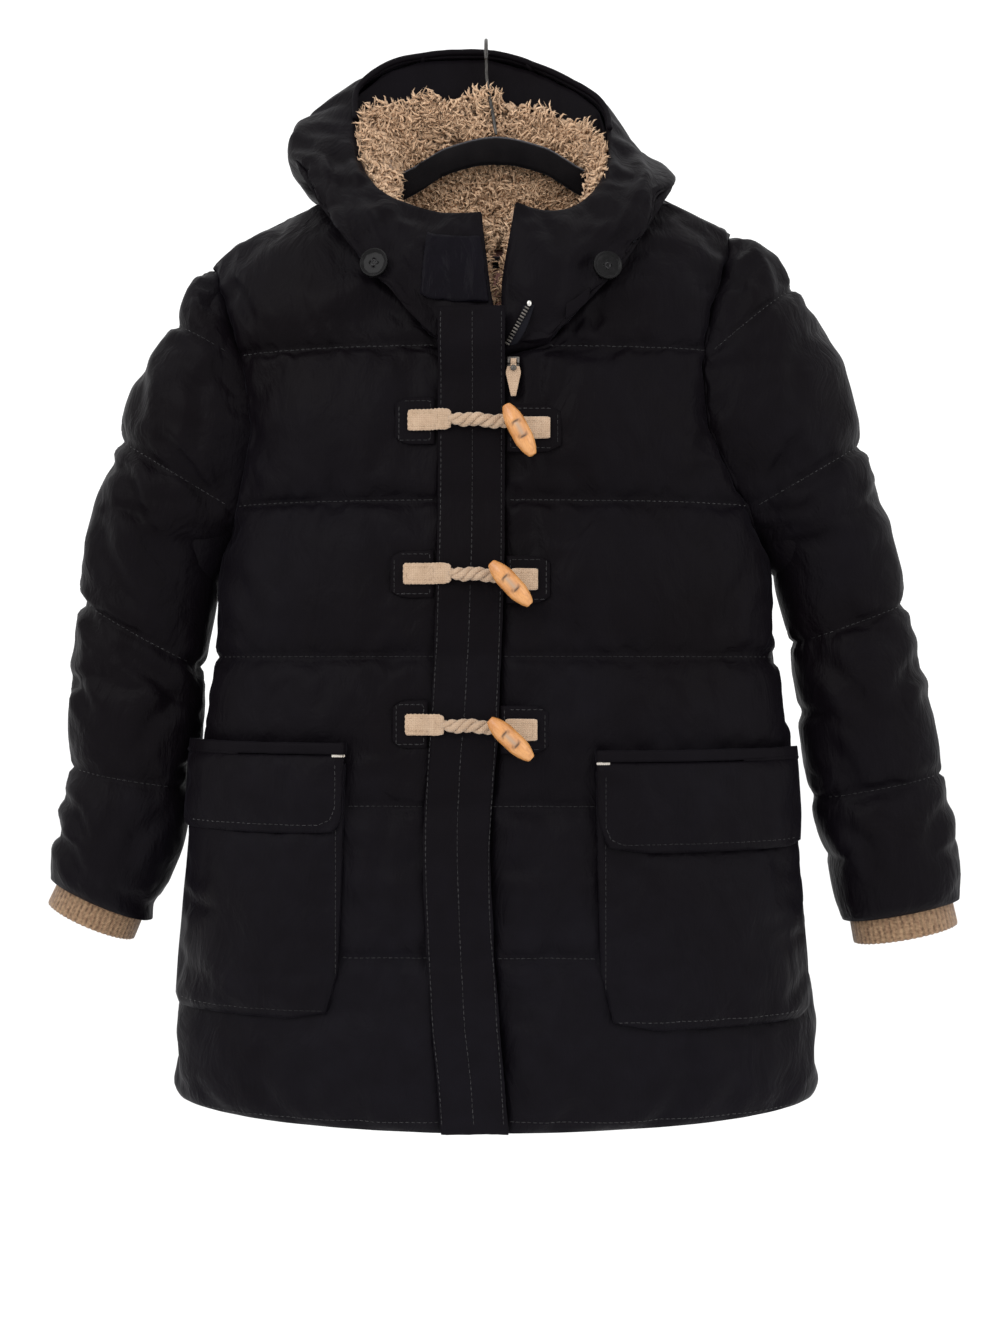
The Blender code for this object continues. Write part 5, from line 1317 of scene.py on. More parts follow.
def lock_shapes(rng, number):
    """Curled, tapered locks one unit long, grown from a small ring, as (points, faces, place along)."""
    shapes = []
    rings = 6
    for _ in range(number):
        bm = bmesh.new()
        made = bmesh.ops.create_circle(bm, segments=3, radius=1.12)
        loop = made["verts"]
        edges = list(dict.fromkeys(e for v in loop for e in v.link_edges))
        bend = rng.uniform(0.9, 2.4)
        wave = rng.uniform(0.45, 0.80)
        phase = rng.uniform(0, 6.28)
        steps = [list(loop)]
        for _ in range(rings):
            grown = bmesh.ops.extrude_edge_only(bm, edges=edges)["geom"]
            edges = [g for g in grown if isinstance(g, bmesh.types.BMEdge)]
            steps.append([g for g in grown if isinstance(g, bmesh.types.BMVert)])
        ring_of = {}
        for i, verts in enumerate(steps):
            for v in verts:
                ring_of[v] = i
        for v, i in ring_of.items():
            s = i / rings
            thick = (1 - s) ** 0.5 * (1 + 0.55 * math.sin(math.pi * s))
            sway = wave * min(1.0, 3.0 * s)
            drift = bend * 0.30 * s * s
            centre = Vector((sway * math.sin(phase + 8.5 * s) + drift, sway * math.cos(phase + 7.5 * s), s))
            twist = Matrix.Rotation(1.9 * s, 3, "Z")
            v.co = centre + twist @ Vector((v.co.x * thick, v.co.y * thick * 0.62, 0.0)) * 0.5
        bmesh.ops.remove_doubles(bm, verts=steps[-1], dist=0.2)
        bm.verts.index_update()
        bmesh.ops.recalc_face_normals(bm, faces=bm.faces)
        along = np.array([ring_of.get(v, rings) / rings for v in bm.verts])
        points = np.array([v.co for v in bm.verts])
        faces = [[v.index for v in f.verts] for f in bm.faces]
        shapes.append((points, faces, along))
        bm.free()
    return shapes


def scatter(rng, mesh_points, faces, number, keep):
    """Random places on the kept faces, as (place, normal)."""
    corners = mesh_points[faces]
    cross = np.cross(corners[:, 1] - corners[:, 0], corners[:, 2] - corners[:, 0])
    area = np.linalg.norm(cross, axis=1) * keep
    pick = rng.choice(len(faces), size=number, p=area / area.sum())
    a, b = rng.random(number), rng.random(number)
    over = a + b > 1
    a[over], b[over] = 1 - a[over], 1 - b[over]
    c = corners[pick]
    places = c[:, 0] + a[:, None] * (c[:, 1] - c[:, 0]) + b[:, None] * (c[:, 2] - c[:, 0])
    return places, cross[pick] / np.linalg.norm(cross[pick], axis=1, keepdims=True)


AROUND_FLEECE = (
    "hood_side_left_shell", "hood_side_right_shell", "hood_center_shell", "hood_facing_cloth",
    "front_left_shell", "front_right_shell", "back_shell", "back_neck_lining_cloth", "hood_rim_binding",
)


class COAT_OT_fleece(bpy.types.Operator):
    """Fleece inside the hood: its ground and its locks"""

    bl_idname = "coat.fleece"
    bl_label = "Hood Fleece"

    def execute(self, context):
        pile = context.scene.coat_fleece
        bm = even_grid(merged("hood_lining"), 0.006)
        ground = refine(to_object("fleece_ground", bm, "fleece_ground"))
        co, normal = points_of(ground.data), normals_of(ground.data)
        lumps = np.abs(noise_at(co, 120.0, 4.0)) + 0.5 * np.abs(noise_at(co, 260.0, 9.0))
        set_points(ground.data, co + normal * ((lumps - 0.35) * 0.0022)[:, None])
        dress(ground, "hood_lining", slot="cream_fleece", padded=0.3)

        mesh = ground.data
        mesh.calc_loop_triangles()
        faces = np.empty(len(mesh.loop_triangles) * 3, int)
        mesh.loop_triangles.foreach_get("vertices", faces)
        faces = faces.reshape(-1, 3)
        co = points_of(mesh)
        corners = co[faces]
        centres = corners.mean(1)
        cross = np.cross(corners[:, 1] - corners[:, 0], corners[:, 2] - corners[:, 0])
        cross /= np.maximum(np.linalg.norm(cross, axis=1, keepdims=True), 1e-12)
        facing = (cross * outward("hood", centres)).sum(1)
        keep = (facing < 0.35) * np.where(centres[:, 2] > -0.2, 1.0, 0.35)
        rng = np.random.default_rng(11)
        number = pile.locks
        places, normals = scatter(rng, co, faces, number, keep)
        shapes = lock_shapes(random.Random(5), 14)
        walls = tree_of(*[piece(n) for n in AROUND_FLEECE])
        self.grow(places, normals, shapes, pile, rng, walls)
        return {"FINISHED"}

    def crosses(self, made, along, root, walls):
        """Whether a lock passes through a wall on its way from the root to the tip."""
        path = [root] + [Vector(made[np.abs(along - s) < 0.1].mean(0)) for s in (0.5, 0.83, 1.0)]
        steps = [(a, b - a) for a, b in zip(path, path[1:])]
        return any(walls.ray_cast(a, step, step.length + 0.001)[0] is not None for a, step in steps)

    def grow(self, places, normals, shapes, pile, rng, walls):
        """Locks in four pieces, by quarter of the hood."""
        ridge_z = -0.060
        points = {q: [] for q in range(4)}
        polys = {q: [] for q in range(4)}
        marks = {q: [] for q in range(4)}
        tones = {q: [] for q in range(4)}
        starts = [0, 0, 0, 0]
        swirl_x = noise_at(places, 38.0, 1.0)
        swirl_z = noise_at(places, 38.0, 6.0)
        tone_at = noise_at(places, 55.0, 12.0)
        for i, (place, normal) in enumerate(zip(places, normals)):
            away = np.array((place[0] * 3.2, -0.02, (place[2] - ridge_z) * 6.0))
            if place[2] < -0.125:
                away = np.array((place[0] * 1.5, -0.05, -0.35))
            flow = away + np.array((swirl_x[i], 0.2 * swirl_x[i], swirl_z[i])) * 0.30
            flow /= max(np.linalg.norm(flow), 1e-6)
            up = normal * (0.62 + 0.25 * rng.random()) + flow * 0.85
            up /= np.linalg.norm(up)
            side = np.cross(up, rng.normal(size=3))
            side /= max(np.linalg.norm(side), 1e-6)
            third = np.cross(up, side)
            low = np.clip((-0.105 - place[2]) / 0.05, 0, 1)
            size = (pile.long * (1 - low) + pile.short * low) * rng.uniform(0.7, 1.2)
            wide = pile.width * rng.uniform(0.65, 1.15)
            root = Vector(place + normal * 0.0015)
            hit, _, _, far = walls.ray_cast(root, Vector(up), size + 0.002)
            if hit is not None:
                if far < 0.005:
                    continue
                size = far * 0.75
            shape, faces, along = shapes[int(rng.integers(len(shapes)))]
            sized = np.stack([shape[:, 0] * wide, shape[:, 1] * wide, shape[:, 2] * size], axis=1)
            sized[:, 0] += (shape[:, 2] ** 2) * size * 0.22
            made = place - normal * 0.0012 + sized @ np.array([side, third, up])
            if self.crosses(made, along, root, walls):
                continue
            q = int(place[0] > 0) + 2 * int(place[2] < -0.085)
            points[q].append(made)
            polys[q] += [[k + starts[q] for k in f] for f in faces]
            starts[q] += len(made)
            marks[q].append(along)
            tone = np.clip(0.5 + tone_at[i] * 0.7 + rng.uniform(-0.3, 0.3), 0, 1)
            tones[q].append(np.full(len(made), tone))
        for q, part in enumerate(("upper_left", "upper_right", "lower_left", "lower_right")):
            mesh = bpy.data.meshes.new(f"fleece_locks_{part}")
            mesh.from_pydata(np.concatenate(points[q]).tolist(), [], polys[q])
            # along, from root to tip, places the painted shade at the roots in the pile's material
            for name, values in (("along", marks[q]), ("tone", tones[q])):
                layer = mesh.attributes.new(name, "FLOAT", "POINT")
                layer.data.foreach_set("value", np.concatenate(values).astype(np.float32))
            obj = mesh_object(mesh.name, mesh, "cream_fleece")
            dress(obj, slot="cream_fleece")


# ------------------------------------------------------------------ toggles and cord


def centreline(node, steps, low=None, high=None):
    """The middle of a node that runs along x, at evenly spaced places."""
    co = points_of(frame["nodes"][node].data)
    xs = np.unique(np.round(co[:, 0], 5))
    rings = [(x, co[np.abs(co[:, 0] - x) < 2e-5]) for x in xs]
    rows = []
    for x, r in rings:
        if len(r) > 4:
            least, most = r.min(0), r.max(0)
            middle, half = (least + most) / 2, (most - least) / 2
            rows.append((x, middle[1], middle[2], half[2], half[1]))
    table = np.array(rows)
    low = table[0, 0] if low is None else low
    high = table[-1, 0] if high is None else high
    where = np.linspace(low, high, steps)
    return np.stack([where] + [np.interp(where, table[:, 0], table[:, k]) for k in range(1, 5)], axis=1)


def strand_mesh(bm, path, radius, sides=7):
    """A tube along a path, made by moving a ring along it."""
    path = [Vector(p) for p in path]
    ring = bmesh.ops.create_circle(bm, segments=sides, radius=1.0)["verts"]
    around = [v.co.copy() for v in ring]
    edges = list(dict.fromkeys(e for v in ring for e in v.link_edges))
    bmesh.ops.contextual_create(bm, geom=ring)
    for i, place in enumerate(path):
        ahead = (path[min(i + 1, len(path) - 1)] - path[max(i - 1, 0)]).normalized()
        turn = ahead.to_track_quat("Z", "Y").to_matrix()
        size = radius[i] if hasattr(radius, "__len__") else radius
        if i:
            grown = bmesh.ops.extrude_edge_only(bm, edges=edges)["geom"]
            edges = [g for g in grown if isinstance(g, bmesh.types.BMEdge)]
            ring = [g for g in grown if isinstance(g, bmesh.types.BMVert)]
            ring.sort(key=lambda v: order_of(v.co, around_now))
        around_now = []
        for v, a in zip(ring, around):
            v.co = place + turn @ (a * size)
            around_now.append(v.co.copy())
    bmesh.ops.contextual_create(bm, geom=ring)


def order_of(co, known):
    return min(range(len(known)), key=lambda k: (known[k] - co).length_squared)


class COAT_OT_closures(bpy.types.Operator):
    """Twisted cords, their taped ends and the wooden toggles"""

    bl_idname = "coat.closures"
    bl_label = "Toggles And Cords"

    def execute(self, context):
        for number in (1, 2, 3):
            self.rope(number)
            tail = thin_copy(f"toggle_tail_{number}", f"toggle_tail_{number}_tape", 0.0022, "cream_cotton",
                             crumple=0.00025, seed=number)
            dress(tail, f"toggle_tail_{number}", slot="cream_webbing")
            self.toggle(number)
        return {"FINISHED"}

    def rope(self, number):
        node = f"toggle_loop_{number}"
        line = centreline(node, 70)
        flat = line[:, 4] < 0.0026  # the taped end is thin from front to back
        first = int(np.argmax(~flat))
        rope = line[max(first - 1, 0):]
        bm = bmesh.new()
        strands, lay, thick = 3, 0.021, 0.00245
        for s in range(strands):
            run = (rope[:, 0] - rope[0, 0]) / lay * 2 * math.pi + s * 2 * math.pi / strands
            grow = np.clip((rope[:, 0] - rope[0, 0]) / 0.006, 0.55, 1.0)
            off = 0.0026 * grow
            path = np.stack(
                [rope[:, 0], rope[:, 1] + off * np.sin(run), rope[:, 2] + off * np.cos(run)], axis=1)
            strand_mesh(bm, path, thick * (0.8 + 0.2 * grow), 10)
        bmesh.ops.recalc_face_normals(bm, faces=bm.faces)
        obj = refine(to_object(f"toggle_rope_{number}", bm, "cream_cotton"))
        co, normal = points_of(obj.data), normals_of(obj.data)
        plies = np.sin((co[:, 0] * 1.0 + (co[:, 2] + co[:, 1]) * 0.9) * 2 * math.pi / 0.0016)
        fluff = plies * 0.00012 + noise_at(co, 700.0, number) * 0.00022
        set_points(obj.data, co + normal * fluff[:, None])
        dress(obj, node, slot="cream_webbing")
        self.flat_end(number, node, rope[0, 0])

    def flat_end(self, number, node, stop_x):
        """The flattened, sewn end of the cord: the solid's own end, cut off where the cord begins."""
        bm = merged(node)
        bmesh.ops.bisect_plane(bm, geom=bm.verts[:] + bm.edges[:] + bm.faces[:],
                               plane_co=(stop_x + 0.0015, 0, 0), plane_no=(1, 0, 0), clear_outer=True)
        bmesh.ops.holes_fill(bm, edges=[e for e in bm.edges if e.is_boundary])
        even_grid(bm, 0.0024)
        obj = refine(to_object(f"toggle_tape_{number}", bm, "cream_cotton"))
        co, normal = points_of(obj.data), normals_of(obj.data)
        knit = np.sin(co[:, 0] * 2 * math.pi / 0.0027) * np.cos(co[:, 2] * 2 * math.pi / 0.0034)
        set_points(obj.data, co + normal * (knit * 0.00028 + noise_at(co, 500.0, number) * 0.0002)[:, None])
        dress(obj, slot="cream_webbing")

    def toggle(self, number):
        node = f"toggle_{number}"
        co = points_of(frame["nodes"][node].data)
        middle = (co.min(0) + co.max(0)) / 2
        _, _, axes = np.linalg.svd(co - co.mean(0), full_matrices=False)
        long = axes[0] * (1 if axes[0][2] > 0 else -1)
        half = np.abs((co - middle) @ long).max()
        radius = (co[:, 1].max() - co[:, 1].min()) / 2
        bm = bmesh.new()
        # from one blunt end to the middle: (share along, share of the radius)
        ending = ((-1.0, 0.0), (-1.0, 0.30), (-0.985, 0.40), (-0.95, 0.47), (-0.80, 0.68), (-0.60, 0.87),
                  (-0.40, 0.98), (-0.30, 1.0))
        outline = ending + tuple((-t, r) for t, r in reversed(ending))
        verts = [bm.verts.new((r * radius, 0.0, t * half)) for t, r in outline]
        edges = [bm.edges.new(pair) for pair in zip(verts, verts[1:])]
        bmesh.ops.spin(bm, geom=verts + edges, axis=(0, 0, 1), cent=(0, 0, 0), angle=2 * math.pi,
                       steps=28, use_merge=True)
        bmesh.ops.remove_doubles(bm, verts=bm.verts, dist=1e-5)
        bmesh.ops.recalc_face_normals(bm, faces=bm.faces)
        even_grid(bm, 0.0011)
        local = np.array([v.co for v in bm.verts])
        side = np.cross((0, -1, 0), long)
        side /= np.linalg.norm(side)
        out = np.cross(long, side)
        out = out * (-1 if out[1] > 0 else 1)
        side = np.cross(long, out) * -1
        bm.verts.ensure_lookup_table()
        for v, p in zip(bm.verts, local):
            v.co = Vector(middle + p[0] * side + p[1] * out + p[2] * long)
        bmesh.ops.recalc_face_normals(bm, faces=bm.faces)
        obj = to_object(f"toggle_wood_{number}", bm, "orange_wood")
        mesh = obj.data
        layer = mesh.attributes.new("local", "FLOAT_VECTOR", "POINT")
        layer.data.foreach_set("vector", local.astype(np.float32).ravel())
        # two drilled, cord-filled slots show on the front as dented crescents of painted shade
        around = local[:, 0] / radius
        front = local[:, 1] > 0.25 * radius
        burnt = np.zeros(len(local))
        for way in (-1, 1):
            t = (local[:, 2] - way * 0.30 * half) / (0.105 * half)
            curve = np.abs(t + way * (around * 1.5) ** 2 * 0.9)
            burnt = np.maximum(burnt, np.exp(-(curve / 0.42) ** 2) * (np.abs(around) < 0.62))
        burnt *= front
        narrow = np.clip(1.3 - np.abs(around) / 0.26, 0, 1)
        slot = front * narrow * np.clip((0.27 - np.abs(local[:, 2]) / half) / 0.05, 0, 1)
        co, normal = points_of(mesh), normals_of(mesh)
        chip = noise_at(local, 260.0, number) * 0.00012
        ply = np.sin(local[:, 2] * 2 * math.pi / 0.0016 + local[:, 0] * 1500.0) * 0.00012
        set_points(mesh, co + normal * (chip - burnt * 0.00055 + slot * (0.0003 + ply))[:, None])
        layer = mesh.attributes.new("slot", "FLOAT", "POINT")
        layer.data.foreach_set("value", np.clip(slot, 0, 1).astype(np.float32))
        layer = mesh.attributes.new("burnt", "FLOAT", "POINT")
        layer.data.foreach_set("value", burnt.astype(np.float32))
        dress(obj, node, slot="orange_wood")


# ------------------------------------------------------------------ buttons and zip


class COAT_OT_buttons(bpy.types.Operator):
    """Two four-hole buttons and the thread through them"""

    bl_idname = "coat.buttons"
    bl_label = "Buttons"

    def execute(self, context):
        for side in (LEFT, RIGHT):
            node = f"button_{side}"
            bm = merged(node)
            crease = bm.edges.layers.float.new("crease_edge")
            for edge in bm.edges:
                if edge.calc_face_angle(0.0) > 0.9:
                    edge[crease] = 0.6
            obj = refine(to_object(f"button_{side}_disc", bm, "dark_button"), 2)
            dress(obj, node, slot="dark_button")
            self.thread(side, node)
        return {"FINISHED"}

    def thread(self, side, node):
        co = points_of(frame["nodes"][node].data)
        middle = co.mean(0)
        _, _, axes = np.linalg.svd(co - middle, full_matrices=False)
        out = axes[2] * (-1 if axes[2][1] > 0 else 1)
        along, across = axes[0], np.cross(out, axes[0])
        lift = ((co - middle) @ out).max() - 0.0014
        bm = bmesh.new()
        hole = 0.0023 * 0.7071
        for a, b in (((-1, -1), (-1, 1)), ((1, -1), (1, 1)), ((-1, -1), (1, -1)), ((-1, 1), (1, 1))):
            for shift in (-0.00025, 0.00025):
                path = []
                for t in np.linspace(0, 1, 9):
                    u = (a[0] * (1 - t) + b[0] * t) * hole + shift * (a[0] == b[0])
                    v = (a[1] * (1 - t) + b[1] * t) * hole + shift * (a[1] == b[1])
                    rise = lift + 0.0008 * math.sin(math.pi * t) ** 0.5 - 0.0006
                    path.append(middle + along * u + across * v + out * rise)
                strand_mesh(bm, path, 0.00028, 6)
        bmesh.ops.recalc_face_normals(bm, faces=bm.faces)
        obj = to_object(f"button_{side}_thread", bm, "navy_thread")
        dress(obj, slot="dark_button")


class COAT_OT_zip(bpy.types.Operator):
    """Zip: tape, teeth, slider, top stop and the webbing pull"""

    bl_idname = "coat.zip"
    bl_label = "Zip"

    def execute(self, context):
        closed = thin_copy("zip_closed", "zip_closed_tape", 0.006, "zip_tape")
        dress(closed, "zip_closed", slot="dark_zip_metal")
        tape = thin_copy("zip_tape_top", "zip_tape_top_cloth", 0.003, "zip_tape", crumple=0.0001)
        dress(tape, "zip_tape_top", slot="dark_zip_metal")
        slider = thin_copy("zip_slider", "zip_slider_body", 0.0012, "dark_metal", smooth=0)
        dress(slider, "zip_slider", slot="dark_zip_metal")
        pull = thin_copy(
            "zip_pull_tab", "zip_pull_webbing", 0.0014, "cream_cotton", smooth=1, crumple=0.00015)
        dress(pull, "zip_pull_tab", slot="cream_webbing", body=PULL)
        self.stud()
        self.teeth()
        return {"FINISHED"}

    def stud(self):
        """The round rivet near the pull's top."""
        low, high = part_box("zip_pull_tab")
        bm = bmesh.new()
        bmesh.ops.create_uvsphere(bm, u_segments=20, v_segments=10, radius=0.0021)
        bmesh.ops.scale(bm, vec=(1.0, 0.45, 1.0), verts=bm.verts)
        bmesh.ops.translate(bm, vec=((low.x + high.x) / 2, low.y, high.z - 0.0072), verts=bm.verts)
        dress(to_object("zip_pull_stud", bm, "dark_metal"), slot="dark_zip_metal", body=PULL)

    def teeth(self):
        co = points_of(frame["nodes"]["zip_tape_top"].data)
        middle = co.mean(0)
        _, _, axes = np.linalg.svd(co - middle, full_matrices=False)
        long = axes[0] * (1 if axes[0][2] > 0 else -1)
        out = axes[2] * (-1 if axes[2][1] > 0 else 1)
        side = np.cross(long, out)
        side = side * (1 if side[0] > 0 else -1)
        reach = (co - middle) @ long
        lift = ((co - middle) @ out).max()
        edge = ((co - middle) @ side).min()
        bm = bmesh.new()
        pitch = 0.0023
        turn = Matrix((side, out, long)).transposed().to_4x4()
        for k in range(int((reach.max() - reach.min()) / pitch) - 1):
            up = reach.min() + (k + 0.8) * pitch
            place = middle + long * up + out * (lift + 0.0004) + side * (edge * 0.35)
            tooth = bmesh.ops.create_cube(bm, size=1.0)["verts"]
            bmesh.ops.scale(bm, vec=(0.0034, 0.0014, 0.0013), verts=tooth)
            bmesh.ops.transform(bm, matrix=Matrix.Translation(Vector(place)) @ turn, verts=tooth)
        bmesh.ops.bevel(bm, geom=bm.edges[:], offset=0.00025, affect="EDGES", segments=2, profile=0.5,
                        material=-1)
        dress(to_object("zip_teeth", bm, "dark_metal"), slot="dark_zip_metal")
        bm = bmesh.new()
        bmesh.ops.create_uvsphere(bm, u_segments=14, v_segments=8, radius=0.0018)
        top = middle + long * (reach.max() - 0.0012) + out * (lift + 0.0006) + side * (edge * 0.35)
        bmesh.ops.scale(bm, vec=(1.0, 0.6, 1.2), verts=bm.verts)
        bmesh.ops.translate(bm, vec=top, verts=bm.verts)
        dress(to_object("zip_top_stop", bm, "pale_metal"), slot="dark_zip_metal")


# ------------------------------------------------------------------ hanger


class COAT_OT_hanger(bpy.types.Operator):
    """Velvet hanger and its wire hook"""

    bl_idname = "coat.hanger"
    bl_label = "Hanger"

    def execute(self, context):
        body = thin_copy("hanger_body", "hanger_velvet", 0.006, "black_velvet", smooth=1, crumple=0.0001)
        dress(body, "hanger_body", slot="black_velvet")
        hook = refine(to_object("hanger_hook_wire", merged("hanger_hook"), "hook_steel"))
        dress(hook, "hanger_hook", slot="hook_steel")
        return {"FINISHED"}


# ------------------------------------------------------------------ sewing


def stitch_shape():
    """One stitch, a unit long and a unit thick, lying along x."""
    bm = bmesh.new()
    bmesh.ops.create_uvsphere(bm, u_segments=6, v_segments=4, radius=0.5)
    bmesh.ops.rotate(bm, cent=(0, 0, 0), matrix=Matrix.Rotation(math.pi / 2, 3, "Y"), verts=bm.verts)
    points = np.array([v.co for v in bm.verts])
    faces = [[v.index for v in f.verts] for f in bm.faces]
    bm.free()
    return points, faces


class Sewing:
    """Collects stitches, one run after another, then makes one piece of them."""

    def __init__(self, settings):
        self.settings = settings
        self.shape, self.faces = stitch_shape()
        self.points, self.polys, self.start = [], [], 0

    def run(self, line, tree, toward, covers=None, lift=0.0001, wide=1.0):
        """Stitches along (x, z) points in metres, found on the tree by looking toward +y or -y."""
        line = np.array(line, float)
        gaps = np.linalg.norm(np.diff(line, axis=0), axis=1)
        done = np.concatenate([[0], np.cumsum(gaps)])
        s = self.settings
        number = int(done[-1] / s.pitch)
        look = Vector((0, toward, 0))

        def on(t):
            x, z = np.interp(t, done, line[:, 0]), np.interp(t, done, line[:, 1])
            start = Vector((x, -LOOK_FROM * toward, z))
            hit, normal, _, _ = tree.ray_cast(start, look)
            if hit is None:
                return None
            if covers is not None:
                other = covers.ray_cast(start, look)[0]
                if other is not None and (other.y - hit.y) * toward < 0.0003:
                    return None
            if normal.y * toward > 0:
                normal = -normal
            return hit, normal

        for k in range(number):
            a, b = on(k * s.pitch), on(k * s.pitch + s.stitch)
            if a is None or b is None or (a[0] - b[0]).length > 1.6 * s.stitch:
                continue
            along = (b[0] - a[0]).normalized()
            out = (a[1] + b[1]).normalized()
            side = along.cross(out).normalized()
            centre = (a[0] + b[0]) / 2 + out * lift
            axes = np.array([along * s.stitch, side * s.thread * wide, out * s.thread])
            self.points.append(self.shape @ axes + np.array(centre))
            self.polys += [[i + self.start for i in f] for f in self.faces]
            self.start += len(self.shape)

    def finish(self, name, finish, slot):
        mesh = bpy.data.meshes.new(name)
        mesh.from_pydata(np.concatenate(self.points).tolist(), [], self.polys)
        dress(mesh_object(name, mesh, finish), slot=slot)


def front_hit(tree, x, z):
    """Where a look from the front meets the tree, or None."""
    return tree.ray_cast(Vector((x, -LOOK_FROM, z)), Vector((0, 1, 0)))[0]


def inset_outline(node, inset):
    """The four sides of a node seen from the front, moved in: left, right, bottom and top."""
    low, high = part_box(node)
    return low.x + inset, high.x - inset, low.z + inset, high.z - inset


class COAT_OT_sewing(bpy.types.Operator):
    """Topstitching along the quilting, pockets, placket, toggle patches and hem, and the bar tacks"""

    bl_idname = "coat.sewing"
    bl_label = "Sewing"

    def execute(self, context):
        settings = context.scene.coat_sewing
        over = tree_of(*[piece(n) for n in bpy.data.objects.keys() if n.startswith(
            ("pocket_", "placket_", "toggle_patch", "chin_flap", "hood_side"))])
        quilt = Sewing(settings)
        fronts = tree_of(piece("front_left_shell"), piece("front_right_shell"))
        back = tree_of(piece("back_shell"))
        widths = np.linspace(*ROW_SPAN, 60)
        for line in BODY_LINES:
            run = [(x, line * MM) for x in widths]
            quilt.run(run, fronts, 1, over)
            quilt.run(run, back, -1)
        for side in (LEFT, RIGHT):
            sleeve = tree_of(piece(f"sleeve_{side}_shell"))
            for ox, oz, ix, iz in SLEEVE_LINES[side]:
                shares = np.linspace(0, 1, 24)
                run = [(ox * MM * (1 - t) + ix * MM * t, oz * MM * (1 - t) + iz * MM * t) for t in shares]
                quilt.run(run, sleeve, 1)
                quilt.run(run, sleeve, -1)
        hem = [(x, HEM_ROW) for x in widths]
        quilt.run(hem, fronts, 1, over)
        quilt.run(hem, back, -1)
        quilt.finish("quilting_stitches", "navy_thread", "navy_shell_cloth")
        self.edges(settings)
        self.tacks(settings)
        return {"FINISHED"}

    def edges(self, settings):
        """Stitching round the pockets, flaps, placket and patches."""
        rows = Sewing(settings)
        for side in (LEFT, RIGHT):
            flap = tree_of(piece(f"pocket_flap_{side}_shell"))
            patch = tree_of(piece(f"pocket_{side}_shell"))
            rounds = ((f"pocket_flap_{side}", flap, 0.0065, None), (f"pocket_{side}", patch, 0.007, flap))
            for node, tree, inset, over in rounds:
                x0, x1, z0, z1 = inset_outline(node, inset)
                x0, x1 = (x0 - inset, x1) if side == LEFT else (x0, x1 + inset)
                inner = x1 if side == LEFT else x0
                outer = x0 if side == LEFT else x1
                corner = 0.012 if node.startswith("pocket_flap") else 0.006
                step = -corner if side == LEFT else corner
                line = [(outer, z0), (inner + step, z0), (inner + step * 0.3, z0 + corner * 0.3),
                        (inner, z0 + corner), (inner, z1)]
                rows.run(line, tree, 1, over)
        placket = tree_of(piece("placket_cloth"))
        cords = [o for o in bpy.data.objects if o.name.startswith(("toggle_rope", "toggle_tape"))]
        over = tree_of(*cords)
        low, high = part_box("placket")
        co = points_of(frame["nodes"]["placket"].data)
        for share_in, inset in ((0, 0.0022), (0, 0.0240), (1, 0.0025)):
            line = []
            for z in np.linspace(high.z - 0.004, low.z + 0.004, 50):
                row = co[np.abs(co[:, 2] - z) < 0.03]
                edge = row[:, 0].min() if share_in == 0 else row[:, 0].max()
                line.append((edge, z))
            line = np.array(line)
            line[:, 0] = np.convolve(np.pad(line[:, 0], 3, mode="edge"), np.ones(7) / 7, mode="valid")
            line[:, 0] += inset if share_in == 0 else -inset
            rows.run(line, placket, 1, over)
        for node in nodes_named("toggle_patch"):
            tree = tree_of(piece(f"{node}_cloth"))
            x0, x1, z0, z1 = inset_outline(node, 0.0028)
            line = [(x0, z1), (x0, z0), (x1, z0), (x1, z1), (x0, z1)]
            rows.run(line, tree, 1, over)
        rows.finish("topstitching", "navy_thread", "navy_shell_cloth")

    def tacks(self, settings):
        """White bar tacks at the pockets' inner corners, and the sewing that holds the cords' ends."""
        bm = bmesh.new()
        for side in (LEFT, RIGHT):
            low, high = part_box(f"pocket_welt_{side}")
            under = (f"pocket_flap_{side}_shell", f"pocket_welt_{side}_cloth", f"pocket_{side}_shell")
            tree = tree_of(*[piece(n) for n in under])
            end = high.x - 0.0012 if side == LEFT else low.x + 0.0012
            way = -1 if side == LEFT else 1
            for row in (-0.0004, 0.0004):
                path = []
                for k in range(13):
                    x, z = end + way * 0.0088 * k / 12, low.z - 0.0006 + row + 0.00025 * (-1) ** k
                    hit = front_hit(tree, x, z)
                    path.append((x, hit.y if hit else None, z))
                front = min(y for _, y, _ in path if y is not None)
                path = [(x, min(y or front, front + 0.0012) - 0.0003, z) for x, y, z in path]
                strand_mesh(bm, path, 0.0005, 6)
        bmesh.ops.recalc_face_normals(bm, faces=bm.faces)
        dress(to_object("bar_tacks", bm, "white_thread"), slot="cream_webbing")
        self.turnings()
        self.cord_ends(settings)

    def turnings(self):
        """The turned-in cloth that closes the gap between each welt and its flap."""
        bm = bmesh.new()
        for side in (LEFT, RIGHT):
            low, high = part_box(f"pocket_welt_{side}")
            tree = tree_of(piece(f"pocket_welt_{side}_cloth"))
            end, way = (low.x + 0.0015, 1) if side == LEFT else (high.x - 0.0015, -1)
            path = []
            for k in range(12):
                x = end + way * 0.004 * k
                z = low.z + 0.0022
                hit = front_hit(tree, x, z)
                if hit is not None:
                    path.append((x, hit.y + 0.0022, z - 0.0016))
            strand_mesh(bm, path, 0.0021, 8)
        bmesh.ops.recalc_face_normals(bm, faces=bm.faces)
        dress(to_object("pocket_turnings", bm, "navy_flat"), slot="navy_shell_cloth")

